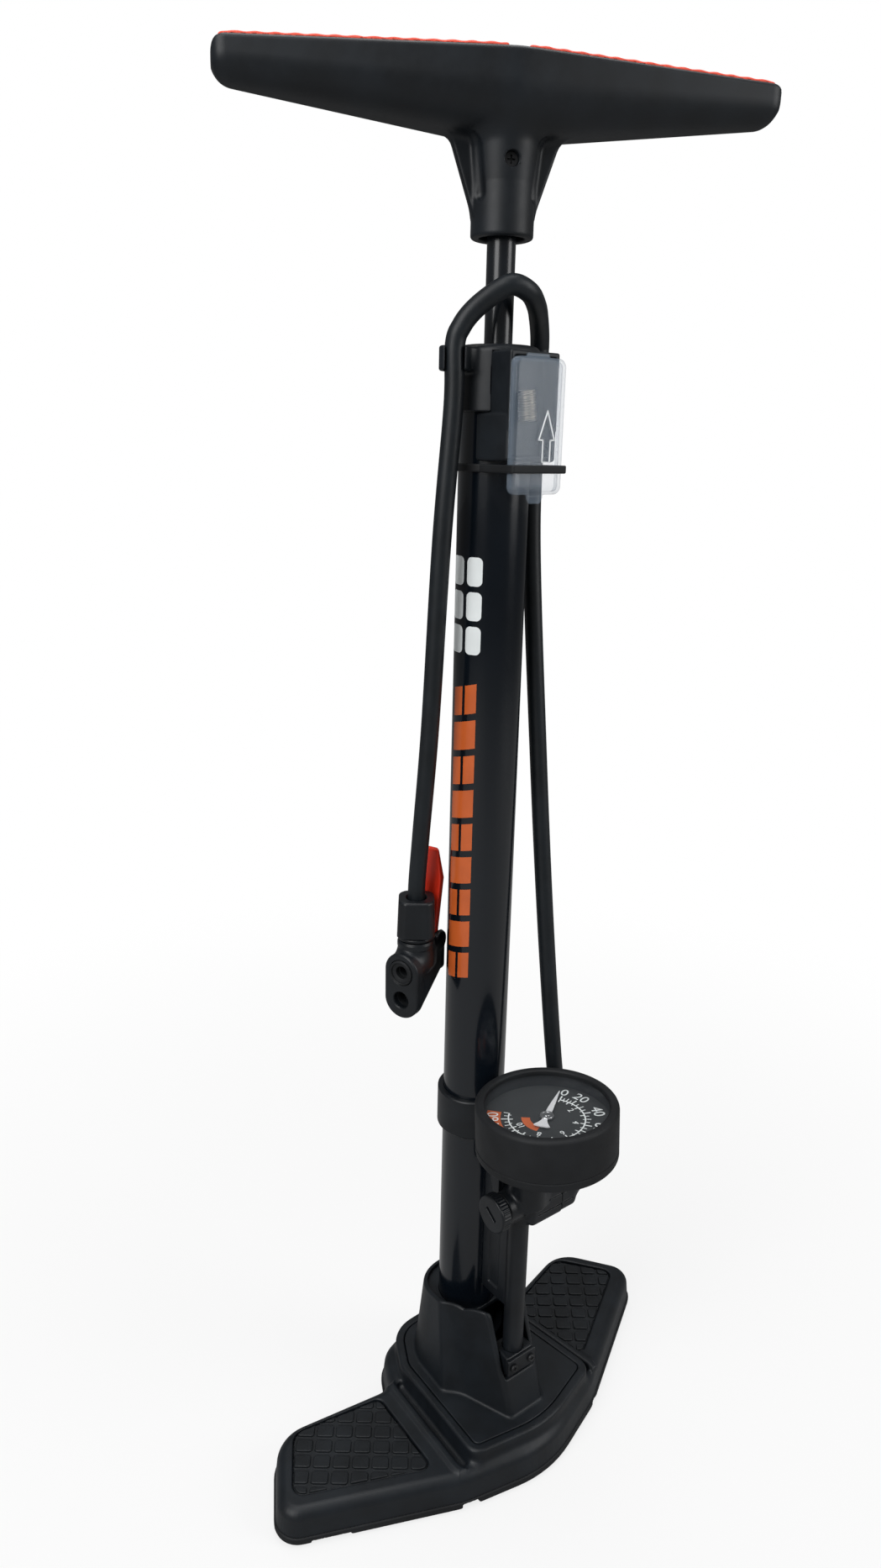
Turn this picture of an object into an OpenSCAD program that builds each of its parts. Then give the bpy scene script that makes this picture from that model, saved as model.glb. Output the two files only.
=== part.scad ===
// Floor bike pump: moulded foot base, steel barrel, T handle, base-fed pressure gauge,
// hose with a twin valve head, and a small clear-lidded box for a valve adapter.
// Frame: origin on the floor under the barrel's axis, +Z up, -Y towards the gauge, +X to the right.

/* [Barrel and rod] */
// Outside diameter of the barrel tube
barrel_d = 32; // [31.6:0.1:32.4]
// Wall thickness of the barrel tube
barrel_wall = 1.5; // [1.2:0.1:1.7]
// Height of the top of the barrel cap
cap_top = 565; // [560:1:570]
// Diameter of the piston rod
rod_d = 12.2; // [12:0.1:12.4]
// How far the handle stands above its lowest place
handle_raise = 20; // [18:1:22]

/* [Handle] */
// Half of the handle's length
handle_half = 117; // [110:1:125]
// Height of the handle's flat top
handle_top = 670.6; // [668:0.2:672]
// Handle depth from front to back at its middle
handle_mid_depth = 46; // [42:1:50]
// Handle depth from front to back at each end
handle_end_depth = 19; // [16:1:22]
// Turn of the handle about the barrel's axis at rest
handle_turn = -26; // [-90:0.5:90]

/* [Base] */
// Half of the base's width
base_half = 133; // [130:1:136]
// Height of the rim round the tread pads
rim_z = 20.5; // [20:0.5:22]
// Height of the raised centre plate
plate_z = 28; // [27:0.5:29]
// Height of the tower's front, from which its top slopes down to the back
tower_z = 84; // [82:1:86]
// Turn of the footplate about the barrel's axis
base_turn = 3.5; // [0:0.5:5]

/* [Gauge] */
// Outside diameter of the gauge's rubber boot
boot_d = 70.4; // [70:0.2:71]
// Height of the boot
boot_h = 27; // [26:0.5:28]
// Tilt of the gauge's face towards the barrel
gauge_tilt = 4.2; // [0:0.2:5]

/* [Hose and valve head] */
// Outside diameter of the hose
hose_d = 8.5; // [8:0.1:8.6]
// Bore of the port for narrow (Presta) valves
presta_d = 6.4; // [6.2:0.1:6.6]
// Bore of the port for wide (Schrader) valves
schrader_d = 8.4; // [8.2:0.1:8.6]

/* [Hidden] */
$fn = 64;

gap = 0.05;                       // running and seating clearance
eps = 0.5;                        // how far a cutter runs past a face
barrel_r = barrel_d / 2;
bore_r = barrel_r - barrel_wall;  // inside radius of the barrel
rod_r = rod_d / 2;
foot_z = 2;                       // underside of the base's plate
under_z = 6;                      // parting line between underplate and body
gasket_z = 32;                    // seat of the barrel's gasket
barrel_z = gasket_z + 2;          // lower end of the barrel
barrel_len = cap_top - 4 - barrel_z;
stem_y = -40;                     // axis of the air tube beside the barrel
stem_r = 5.5;
stem_seat = 48;                   // lower end of the air tube
block_z = 60;                     // top of the block the air tube stands in
clamp_y = stem_y - 6.4;           // front of that block, behind the clamp strip
clamp_t = 1.8;                    // thickness of the clamp strip
man_y = -43;                      // axis of the manifold
man_z = 156.5;
man_r = 8;
boss_y = -46;                     // axis of the gauge's stem
gauge_y = -55.8;                  // centre of the gauge's rim
gauge_z = 220.4;
boot_r = boot_d / 2;
case_r = boot_r - 2.6;
box_front = -25;                  // front of the adapter box, where the lid slides
box_half = 13.6;
clip_y = [-4.4, 3.3];             // hose axis in the left clip and in the right one
chuck_x = -30;                    // hose axis where it enters the valve head
chuck_y = 12.8;
chuck_turn = 199.9;               // direction the two ports face
port_z = [275.2, 260.2];          // narrow port above, wide port below
face_x = 13;                      // port face from the hose axis
port_ring_r = 6.6;                // ring round the narrow port
pivot_x = -14.4;                  // lever pin from the hose axis
pivot_z = 284;
nut_z = 290;
nut_h = 21.5;
piston_z = 38 + handle_raise;     // underside of the piston nut
collar_z = cap_top + 21.5 + handle_raise;  // clears the hose where it crosses in front of the rod
handle_under = collar_z + 35.5;   // underside of the handle at its middle
gear_module = 0.4;
pinion_teeth = 10;
sector_teeth = 72;
pinion_r = pinion_teeth * gear_module / 2;
sector_r = sector_teeth * gear_module / 2;

// ---------- shared functions and shapes ----------

function unit(v) = v / norm(v);
function turn_short(a) = a > 180 ? a - 360 : a < -180 ? a + 360 : a;

// Points of a polygon whose corner i is rounded with radius r[i]
function rounded(p, r, n = 6) = [for (i = [0 : len(p) - 1])
  let (a = p[(i + len(p) - 1) % len(p)], b = p[i], c = p[(i + 1) % len(p)],
       u = unit(a - b), v = unit(c - b), half = acos(u * v) / 2,
       m = b + unit(u + v) * r[i] / sin(half),
       s = b + u * r[i] / tan(half) - m, e = b + v * r[i] / tan(half) - m,
       a0 = atan2(s[1], s[0]), da = turn_short(atan2(e[1], e[0]) - a0))
  for (k = [0 : n]) m + r[i] * [cos(a0 + da * k / n), sin(a0 + da * k / n)]];

// A closed outline moved inwards by d
function inset(p, d) = [for (i = [0 : len(p) - 1])
  let (t = unit(p[(i + 1) % len(p)] - p[(i + len(p) - 1) % len(p)])) p[i] + d * [-t[1], t[0]]];

// An outline of the footplate, turned with it and moved sideways
function turned(p, shift = 0) = [for (q = p)
  [q[0] * cos(base_turn) - q[1] * sin(base_turn) + shift, q[0] * sin(base_turn) + q[1] * cos(base_turn)]];

function mirror_x(p) = [for (i = [len(p) - 1 : -1 : 0]) [-p[i][0], p[i][1]]];

// A smooth curve through the points of p, k pieces to a span
function spline(p, k) = concat([for (i = [0 : len(p) - 2])
  let (a = p[max(i - 1, 0)], b = p[i], c = p[i + 1], d = p[min(i + 2, len(p) - 1)])
  for (j = [0 : k - 1]) let (t = j / k)
    0.5 * (2 * b + (c - a) * t + (2 * a - 5 * b + 4 * c - d) * t * t + (3 * b - a - 3 * c + d) * t * t * t)],
  [p[len(p) - 1]]);

// A round bar along a path; side_dir is a direction that the path never takes
module sweep(path, r, sides = 12, side_dir = [0, 1, 0]) {
  n = len(path);
  rings = [for (i = [0 : n - 1])
    let (t = unit(path[min(i + 1, n - 1)] - path[max(i - 1, 0)]),
         a = unit(cross(side_dir, t)), b = cross(t, a))
    for (j = [0 : sides - 1]) path[i] + r * (cos(360 * j / sides) * a + sin(360 * j / sides) * b)];
  quads = [for (i = [0 : n - 2], j = [0 : sides - 1])
    [i * sides + j, i * sides + (j + 1) % sides, (i + 1) * sides + (j + 1) % sides, (i + 1) * sides + j]];
  polyhedron(rings, concat(
    [for (q = quads) [q[0], q[2], q[1]]], [for (q = quads) [q[0], q[3], q[2]]],
    [for (j = [1 : sides - 2]) [0, j, j + 1]],
    [for (j = [1 : sides - 2]) [(n - 1) * sides, (n - 1) * sides + j + 1, (n - 1) * sides + j]]));
}

module tube(r_out, r_in, h) {
  difference() {
    cylinder(r = r_out, h = h);
    translate([0, 0, -eps]) cylinder(r = r_in, h = h + 2 * eps);
  }
}

module ring(r_mid, r_wire) {
  rotate_extrude() translate([r_mid, 0]) circle(r = r_wire, $fn = 24);
}

module along_x() { rotate([0, 90, 0]) children(); }
module along_y() { rotate([-90, 0, 0]) children(); }
module both_sides() { for (m = [0, 1]) mirror([m, 0, 0]) children(); }

// A cross-head screw with its head's top at z = 0 and its shank below
module screw(head_r, head_h, shank_r, length) {
  difference() {
    union() {
      translate([0, 0, -head_h]) cylinder(r = head_r, h = head_h);
      translate([0, 0, -length]) cylinder(r = shank_r, h = length - head_h + 0.1);
    }
    for (a = [0, 90]) rotate([0, 0, a])
      translate([-head_r * 0.6, -head_r * 0.14, -head_h * 0.6]) cube([head_r * 1.2, head_r * 0.28, head_h]);
  }
}

// ---------- base ----------

wing_shift = -4;                  // the wings' centre from the barrel's axis
base_corners = [[0, -75], [49, -61], [base_half + 4, -17], [base_half - 24, 27], [44, 13], [30, 37]];
base_radii = [70, 60, 13, 22, 8, 20];
base_outline = turned(rounded(
  concat(base_corners, [for (i = [5 : -1 : 1]) [-base_corners[i][0], base_corners[i][1]]]),
  concat(base_radii, [for (i = [5 : -1 : 1]) base_radii[i]])), wing_shift);
centre_outline = turned(rounded([[40, -53], [34, 10], [22, 31], [-22, 31], [-34, 10], [-40, -53], [0, -63]],
  [4, 12, 16, 16, 12, 4, 60]));
tread_corners = rounded([[57, -44], [122, -11], [101, 20], [52, 8]], [4, 6, 9, 5]);
right_outline = turned(tread_corners, wing_shift);
left_outline = turned(mirror_x(tread_corners), wing_shift);
screw_spots = [[28, -40], [27, 4]];
pad_recess = 2.2;

module base_body() {
  color("#1b1e22") difference() {
    union() {
      translate([0, 0, under_z]) linear_extrude(8.5) polygon(inset(base_outline, 0.8));
      translate([0, 0, under_z + 8]) linear_extrude(4) polygon(inset(base_outline, 2));
      translate([0, 0, under_z + 11]) linear_extrude(rim_z - under_z - 11) polygon(inset(base_outline, 4.5));
      translate([0, 0, rim_z - 4]) linear_extrude(plate_z - rim_z + 4) polygon(inset(centre_outline, -5));
    }
    translate([0, 0, under_z - eps]) linear_extrude(8 + eps) polygon(inset(base_outline, 6));
    translate([0, 0, under_z]) linear_extrude(plate_z) polygon(inset(centre_outline, 2));
    translate([0, 0, plate_z - 5 - gap]) linear_extrude(6) polygon(centre_outline);
    for (p = [right_outline, left_outline])
      translate([0, 0, rim_z - pad_recess]) linear_extrude(pad_recess + eps) polygon(p);
    // channel between the raised block and the pad's inner rim
    rotate([0, 0, base_turn]) both_sides() translate([48, -52, rim_z - 2.5]) rotate([0, 0, 97]) cube([58, 4, 4]);
  }
}

module base_underplate() {
  color("#101214") difference() {
    translate([0, 0, foot_z]) linear_extrude(under_z - foot_z - gap) polygon(base_outline);
    rotate([0, 0, base_turn]) both_sides() translate([45, -66, foot_z - eps]) cube([9, 8, under_z - foot_z - 1]);
    for (x = [-110, 110]) translate([x, 0, foot_z - eps]) cylinder(r = 8 + gap, h = 1 + eps);
    for (x = [-38, 38]) translate([x, -52, foot_z - eps]) cylinder(r = 8 + gap, h = 1 + eps);
    for (y = [0, 24]) translate([0, y, foot_z - eps]) cylinder(r = 8 + gap, h = 1 + eps);
    both_sides() for (p = screw_spots) translate([p[0], p[1], foot_z - eps]) {
      cylinder(r = 2 + gap, h = under_z);
      cylinder(r = 4 + gap, h = 2 + eps);
    }
  }
}

module rubber_feet() {
  color("#16181a") {
    for (x = [-110, 110]) translate([x, 0, 0]) cylinder(r = 8, h = foot_z + 1 - gap);
    for (x = [-38, 38]) translate([x, -52, 0]) cylinder(r = 8, h = foot_z + 1 - gap);
    for (y = [0, 24]) translate([0, y, 0]) cylinder(r = 8, h = foot_z + 1 - gap);
  }
}

module tread(outline) {
  translate([0, 0, rim_z - pad_recess + gap]) linear_extrude(pad_recess - gap) polygon(outline);
}
module left_tread() { color("#22262a") tread(inset(left_outline, 0.2)); }
module right_tread() { color("#22262a") tread(inset(right_outline, 0.2)); }

// ---------- tower that holds the barrel and the air tube ----------

// Outline of the tower at a height: a round back, straight flanks and a square nose
module tower_slice(z, back_r, flank, nose, nose_half) {
  translate([0, 0, z]) linear_extrude(0.1) hull() {
    circle(r = back_r);
    polygon([[-flank[0], flank[1]], [-nose_half, nose], [nose_half, nose], [flank[0], flank[1]]]);
  }
}

module barrel_socket() {
  wall = 3;
  color("#1a1d20") difference() {
    union() {
      translate([0, 0, plate_z - 5]) linear_extrude(5) polygon(inset(centre_outline, 0.1));
      hull() {
        tower_slice(plate_z - 1, 29, [30, -18], -54, 11.5);
        tower_slice(tower_z - 0.1, 23.5, [24.5, -4], -34, 12.6);
      }
      both_sides() for (p = screw_spots) translate([p[0], p[1], under_z + gap]) cylinder(r = 4, h = plate_z - under_z - 2);
    }
    hull() {
      tower_slice(under_z, 29 - wall, [30 - wall, -17], -54 + wall, 11.5 - wall * 0.2);
      tower_slice(block_z + 6, 25.4 - wall, [24.5 - wall, -6], -40.5 + wall, 11.5 - wall * 0.2);
    }
    translate([0, 0, plate_z]) cylinder(r = barrel_r + gap, h = tower_z);
    translate([0, 0, tower_z - 15]) cylinder(r = 21.3, h = 16);
    translate([-40, 0, tower_z - 8]) rotate([-11.3, 0, 0]) translate([0, -60, 0]) cube([80, 120, 30]);
    // notch in front, where the air tube and its clamp stand in the open
    translate([-10, -60, 47]) cube([20, 43.5, tower_z]);
    translate([-30, -46, 47]) rotate([-20, 0, 0]) translate([0, -60, 0]) cube([60, 60, tower_z]);
    translate([-9 - gap, stem_y - 4 - gap, under_z]) cube([18 + 2 * gap, 20, block_z - under_z + gap]);
    both_sides() for (p = screw_spots) translate([p[0], p[1], under_z - eps]) cylinder(r = 1.5 + gap, h = 12);
  }
}

module socket_screws() {
  color("#8d9196") both_sides() for (p = screw_spots)
    translate([p[0], p[1], foot_z + gap]) mirror([0, 0, 1]) screw(4, 1.9, 1.5, 13);
}

module foot_block() {
  color("#26292c") difference() {
    union() {
      translate([0, 0, under_z]) cylinder(r = 22, h = gasket_z - under_z);
      translate([0, 0, gasket_z - 1]) cylinder(r = 21, h = 19);
      translate([-9, stem_y - 4, under_z]) cube([18, 30, gasket_z - under_z]);
      translate([-9, stem_y - 4, under_z]) cube([18, 11.5, block_z - under_z]);
      translate([-9, clamp_y, 49.2]) cube([18, 12, block_z - 49.2]);
    }
    translate([0, 0, gasket_z]) cylinder(r = barrel_r + gap, h = 30);
    translate([0, 0, 18]) cylinder(r = 3, h = 20);
    translate([0, 0, 20]) rotate([90, 0, 0]) cylinder(r = 2.5, h = -stem_y);
    translate([0, stem_y, 17]) cylinder(r = 2.5, h = 20);
    translate([0, stem_y, 30]) cylinder(r = 4, h = 14);
    translate([0, stem_y, 43]) cylinder(r = 2.5, h = 10);
    translate([0, stem_y, stem_seat]) cylinder(r = stem_r + gap, h = 20);
    for (x = [-6, 6]) translate([x, clamp_y - eps, 54.5]) along_y() cylinder(r = 1.2, h = 2.5 + eps);
  }
}

module barrel_gasket() {
  color("#141414") translate([0, 0, gasket_z + gap]) tube(barrel_r - 0.1, 9, 2 - 2 * gap);
}

module check_valve_disc() {
  color("#2b2b2b") translate([0, stem_y, 30 + gap]) cylinder(r = 4 - gap, h = 2);
}

module check_valve_spring() {
  turns = 4;
  low = 32.5 + gap;
  high = 43.5 - gap;
  color("#b5b8bb") translate([0, stem_y, 0])
    sweep([for (i = [0 : 12 * turns]) [3 * cos(30 * i), 3 * sin(30 * i), low + (high - low) * i / 12 / turns]],
      0.35, 6, [0, 0, 1]);
}

module stem_clamp() {
  color("#1d2023") difference() {
    translate([-9.6, clamp_y - clamp_t, 49.5]) cube([19.2, clamp_t - gap, 10]);
    for (x = [-6, 6]) translate([x, clamp_y - clamp_t - eps, 54.5]) along_y() cylinder(r = 1.2 + gap, h = 4);
  }
}

module stem_clamp_screws() {
  color("#8d9196") for (x = [-6, 6]) translate([x, clamp_y - clamp_t - 1.4, 54.5]) rotate([90, 0, 0]) screw(2.1, 1.35, 1.15, 4.8);
}

seal_heights = [stem_seat + 3, man_z - 5.5];

module stem_tube() {
  color("#202428") difference() {
    translate([0, stem_y, stem_seat + gap]) tube(stem_r, 3.5, man_z - stem_seat - 1);
    for (z = seal_heights) translate([0, stem_y, z]) ring(stem_r - 0.35, 0.45);
  }
}

module stem_seals() {
  color("#141414") for (z = seal_heights) translate([0, stem_y, z]) ring(stem_r - 0.35, 0.38);
}

// ---------- barrel ----------

module barrel() {
  color("#10131c") translate([0, 0, barrel_z]) tube(barrel_r, bore_r, barrel_len);
}

module gauge_bracket() {
  band_z = 179.6;
  band_h = 22;
  color("#1c1f22") difference() {
    union() {
      translate([0, 0, band_z]) cylinder(r = 19, h = band_h);
      // web between the barrel and the air tube
      translate([-3, stem_y + stem_r - 1, tower_z]) cube([6, 20, 60]);
      translate([-3, stem_y + 9.5, 140]) cube([6, 15, 36]);
      // two struts from the band down to the air tube
      both_sides() hull() {
        translate([5, -18.5, band_z + 1]) cylinder(r = 1.4, h = band_h - 6);
        translate([4.6, stem_y + 9.8, 134]) cylinder(r = 1.4, h = 30);
      }
      hull() {
        translate([-6, stem_y + 7.5, 134]) cube([12, 1.5, 10]);
        translate([-2, -17.5, 134]) cube([4, 1.5, 10]);
      }
    }
    translate([0, 0, band_z - 100]) cylinder(r = barrel_r + gap, h = 200);
    translate([0, stem_y, 80]) cylinder(r = stem_r + gap, h = 100);
  }
}

// ---------- manifold: joins the air tube, the gauge and the hose ----------

module manifold() {
  color("#1b1e21") difference() {
    union() {
      translate([-15, man_y, man_z]) along_x() cylinder(r = man_r, h = 30);
      translate([-3, man_y - 10, man_z - 11.5]) cube([21, 18.5, 20]);
      translate([0, stem_y, man_z - 12]) cylinder(r = 9, h = 14);
      translate([0, boss_y, man_z]) cylinder(r = 10, h = 22);
    }
    // two grooves along the front
    for (z = [-5.6, 0.6]) translate([2, man_y - 10 - eps, man_z + z]) cube([20, 0.9 + eps, 0.8]);
    // air passages, tube socket, plug socket and stem socket
    translate([-15 - eps, man_y, man_z]) along_x() cylinder(r = 5.5, h = 6 + eps);
    translate([-16, man_y, man_z]) along_x() cylinder(r = 2, h = 50);
    translate([0, stem_y, man_z - 12 - eps]) cylinder(r = stem_r + gap, h = 12 + eps);
    translate([0, boss_y, man_z]) cylinder(r = 2, h = 30);
    translate([0, boss_y, man_z + 14]) cylinder(r = 5 + gap, h = 10);
  }
}

module manifold_plug() {
  color("#1e2124") translate([-22, man_y, man_z]) along_x() difference() {
    union() {
      cylinder(r = 9.3, h = 6);
      for (a = [0 : 20 : 340]) rotate([0, 0, a]) translate([9.3, 0, 0.8]) cylinder(r = 0.6, h = 4.4, $fn = 16);
      cylinder(r = 5.5 - gap, h = 12);
    }
    translate([-1.1, -6, -eps]) cube([2.2, 12, 2 + eps]);
  }
}

module plug_seal() {
  color("#141414") translate([-15.52, man_y, man_z]) along_x() ring(6.2, 0.45);
}

elbow_x = 28.5;

module hose_elbow() {
  color("#1b1e21") difference() {
    union() {
      translate([18 + gap, man_y, man_z]) along_x() cylinder(r = 8, h = elbow_x - 18 - gap);
      translate([elbow_x, man_y, man_z]) intersection() {
        sphere(r = 10.2);
        translate([-5.5, -12, -12]) cube(24);
      }
      translate([elbow_x, man_y, man_z]) rotate([-14, 14, 0]) cylinder(r = 6.2, h = 13);
    }
    translate([17, man_y, man_z]) along_x() cylinder(r = 2, h = elbow_x - 17);
    translate([elbow_x, man_y, man_z]) sphere(r = 3);
    translate([elbow_x, man_y, man_z]) rotate([-14, 14, 0]) cylinder(r = 2, h = 20);
  }
}

module hose_ferrule() {
  color("#17191c") translate([elbow_x, man_y, man_z]) rotate([-14, 14, 0]) translate([0, 0, 13 + gap]) tube(6.2, hose_d / 2 + 0.15, 9);
}

// The hose runs from the elbow up the right side, over in front of the rod and down to the valve head.
elbow_dir = [cos(14) * sin(14), sin(14), cos(14) * cos(14)];
hose_start = [elbow_x, man_y, man_z] + 13.6 * elbow_dir;
hose_points = [hose_start, hose_start + 9 * elbow_dir, hose_start + 11.5 * elbow_dir,
  [32.8, -30.6, 199], [32.6, -25.2, 222], [30.5, -15.7, 298],
  [28.5, -7, 381], [26.5, 2.5, 484], [27, clip_y[1], 540], [27, clip_y[1], 563], [26.8, 3, 567], [23.4, -0.4, 572],
  [17.2, -6.2, 577], [10, -12.5, 581], [1.5, -17.4, 585], [-6.5, -16.7, 587.4], [-12.2, -13.4, 584.8], [-20, -8.9, 578],
  [-25, -6.1, 571], [-27, clip_y[0], 563], [-27, clip_y[0], 540], [-29.9, -1.9, 484], [-30, 4, 400],
  [-30.2, 9.6, 345], [chuck_x, chuck_y, 316], [chuck_x, chuck_y, nut_z + 2]];

module hose() {
  color("#15181b") sweep(spline(hose_points, 4), hose_d / 2, 12);
}

// ---------- gauge ----------

module at_gauge() { translate([0, gauge_y, gauge_z]) rotate([-gauge_tilt, 0, 0]) children(); }

lip_h = 2.5;                      // rubber lip over the case's edge
glass_r = boot_r - 4.7;
stem_dy = boss_y - gauge_y;       // gauge stem from the gauge's centre
dial_w = -9;                      // top of the dial below the rim
gear_w = -13.4;                   // top of the gears below the rim

module gauge_stem() {
  color("#b08d4a") difference() {
    union() {
      translate([0, boss_y, man_z + 15]) cylinder(r = 5, h = 10);
      translate([0, boss_y, man_z + 22 + gap]) cylinder(r = 8, h = 12, $fn = 6);
      at_gauge() translate([0, stem_dy, -boot_h - 4]) cylinder(r = 5.5, h = 13.5);
      at_gauge() translate([-3, stem_dy, -boot_h + 6.3]) cube([6, 26 - stem_dy, 3.2]);
    }
    translate([0, boss_y, man_z]) cylinder(r = 1.5, h = 32);
  }
}

module gauge_boot() {
  color("#15171a") at_gauge() difference() {
    translate([0, 0, -boot_h]) cylinder(r = boot_r, h = boot_h, $fn = 96);
    translate([0, 0, -boot_h + 2]) cylinder(r = case_r + gap, h = boot_h - 2 - lip_h, $fn = 96);
    translate([0, 0, -lip_h - eps]) cylinder(r = glass_r, h = lip_h + 2 * eps, $fn = 96);
    translate([0, stem_dy, -boot_h - eps]) cylinder(r = 12, h = 4);
    translate([0, 0, -boot_h + 5]) rotate_extrude($fn = 96) translate([boot_r, 0]) circle(r = 0.4, $fn = 16);
  }
}

module gauge_case() {
  color("#2a2d30") at_gauge() difference() {
    translate([0, 0, -boot_h + 2 + gap]) cylinder(r = case_r, h = boot_h - 2 - lip_h - 2 * gap, $fn = 96);
    translate([0, 0, -boot_h + 3.2]) cylinder(r = case_r - 1.2, h = boot_h, $fn = 96);
    translate([0, stem_dy, -boot_h]) cylinder(r = 5.6, h = 5);
  }
}

module gauge_dial() {
  color("#17191c") at_gauge() translate([0, 0, dial_w - 0.6]) tube(case_r - 1.3, 1.6, 0.6);
}

module gauge_lens() {
  color("#e8f0f4", 0.3) at_gauge() translate([0, 0, -lip_h - 2]) cylinder(r = case_r - 1.3, h = 1.8, $fn = 96);
}

// Simple straight-sided teeth, cut slim so that the pair runs with backlash
module gear_teeth(pitch_r, count, from, to) {
  for (i = [from : to]) rotate([0, 0, 360 * i / count])
    polygon([[pitch_r - 0.45, -0.28], [pitch_r + 0.3, -0.1], [pitch_r + 0.3, 0.1], [pitch_r - 0.45, 0.28]]);
}

needle_zero = 32;                 // direction of the needle at rest from +X
module gauge_needle() {
  color("#d9dcde") at_gauge() {
    translate([0, 0, dial_w + 1.2]) difference() {
      union() {
        rotate([0, 0, needle_zero]) linear_extrude(0.5) polygon([[0, -1.9], [24, -0.5], [25, 0], [24, 0.5], [0, 1.9]]);
        rotate([0, 0, needle_zero + 180]) linear_extrude(0.5) polygon([[0, -1.4], [9.5, -3.4], [9.5, 3.4], [0, 1.4]]);
        cylinder(r = 3.4, h = 1.2);
      }
    }
    translate([0, 0, gear_w - 3]) cylinder(r = 0.8, h = dial_w + 1.4 - gear_w + 3);
    translate([0, 0, gear_w - 1.4]) linear_extrude(1.4) union() {
      circle(r = pinion_r - 0.4);
      gear_teeth(pinion_r, pinion_teeth, 0, pinion_teeth - 1);
    }
  }
}

module sector_gear() {
  arm = 14;
  color("#c9a24f") at_gauge() translate([pinion_r + sector_r, 0, gear_w - 1.3]) linear_extrude(1.2) difference() {
    union() {
      circle(r = 2.4);
      intersection() {
        circle(r = sector_r - 0.4);
        polygon([[0, 2], [-1.5, -1], [sector_r * 1.3 * cos(188), sector_r * 1.3 * sin(188)],
          [sector_r * 1.3 * cos(134), sector_r * 1.3 * sin(134)]]);
      }
      rotate([0, 0, 180 + 180 / sector_teeth]) gear_teeth(sector_r, sector_teeth, -9, 1);
      translate([0, -1.2]) square([6, 2.4]);
    }
    circle(r = 0.8 + gap);
  }
}

module gauge_movement() {
  color("#c2a05a") at_gauge() {
    difference() {
      union() {
        translate([-6, -6, gear_w - 3.2]) cube([27, 12, 1.2]);
        translate([-6, stem_dy - 3.8, -boot_h + 9.6]) cube([12, 3.6, boot_h - 9.6 + gear_w - 2.2]);
        translate([-6, -4, -boot_h + 9.6]) cube([12, 10, 1]);
      }
      translate([0, 0, gear_w - 4]) cylinder(r = 0.8 + gap, h = 4);
    }
    translate([pinion_r + sector_r, 0, gear_w - 2.2]) cylinder(r = 0.8, h = 2.8);
  }
}

module bourdon_tube() {
  r = 24;
  color("#c9a24f") at_gauge() sweep([for (a = [100 : 9 : 352]) [r * cos(a), r * sin(a), -boot_h + 8.5]], 2.1, 10, [0, 0, 1]);
}

// ---------- barrel cap, rod and piston ----------

cap_low = 538;
clip_z = 553.6;
clip_h = 9.8;

module at_clips() { for (k = [0, 1]) translate([0, clip_y[k], 0]) mirror([1 - k, 0, 0]) children(); }

module barrel_cap() {
  color("#1a1d20") difference() {
    union() {
      translate([0, 0, cap_low]) cylinder(r = 19, h = cap_top - cap_low);
      at_clips() {
        translate([14, -3.6, clip_z]) cube([14, 8, clip_h]);
        translate([27, 0.4, clip_z]) cylinder(r = 6.3, h = clip_h);
      }
    }
    translate([0, 0, cap_low - eps]) cylinder(r = barrel_r + gap, h = cap_top - 4 + gap - cap_low + eps);
    translate([0, 0, cap_low]) cylinder(r = 8, h = 40);
    // hose clips: a round seat open towards the front and outwards
    at_clips() translate([26.9, 0, clip_z - eps]) {
      cylinder(r = hose_d / 2 + 0.9, h = clip_h + 2 * eps);
      rotate([0, 0, 38]) translate([-4.1, -12, 0]) cube([8.2, 12, clip_h + 2 * eps]);
    }
    translate([-box_half - gap, -30, 500]) cube([2 * (box_half + gap), 17.5, box_high + gap - 500]);
  }
}

module rod_bushing() {
  color("#d8d5cc") difference() {
    union() {
      translate([0, 0, 545]) cylinder(r = 8 - gap, h = cap_top - 545);
      translate([0, 0, 545]) cylinder(r = bore_r - gap, h = 12);
    }
    translate([0, 0, 540]) cylinder(r = rod_r + gap, h = 30);
    translate([0, 0, 551]) ring(rod_r + 0.7, 1.1);
  }
}

module rod_wiper() {
  color("#141414") translate([0, 0, 551]) ring(rod_r + 0.9, 0.8);
}

module piston_rod() {
  top = collar_z + 50;
  color("#14171a") difference() {
    union() {
      translate([0, 0, piston_z + 28]) cylinder(r = rod_r, h = top - piston_z - 28);
      translate([0, 0, piston_z]) cylinder(r = 4, h = 30);
    }
    at_handle() translate([0, -8, collar_z + 27.5]) along_y() cylinder(r = 1.6, h = 8);
  }
}

module piston_head() {
  color("#e3e0d8") translate([0, 0, piston_z + 6 + gap]) difference() {
    cylinder(r = bore_r - gap, h = 22 - 2 * gap);
    translate([0, 0, -eps]) cylinder(r = 4 + gap, h = 24);
    translate([0, 0, 8]) tube(bore_r + 1, bore_r - 2.6, 4);
    translate([0, 0, 15]) tube(bore_r + 1, bore_r - 1.5, 4);
  }
}

module piston_ring() {
  color("#1a1a1a") translate([0, 0, piston_z + 6 + gap + 8 + gap]) tube(bore_r - gap, bore_r - 2.55, 4 - 2 * gap);
}

module piston_nut() {
  color("#9a9da1") translate([0, 0, piston_z]) difference() {
    cylinder(r = 8.5, h = 6 - gap, $fn = 6);
    translate([0, 0, -eps]) cylinder(r = 4 + gap, h = 8);
  }
}

// ---------- handle ----------

module at_handle() { rotate([0, 0, handle_turn]) children(); }

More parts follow.
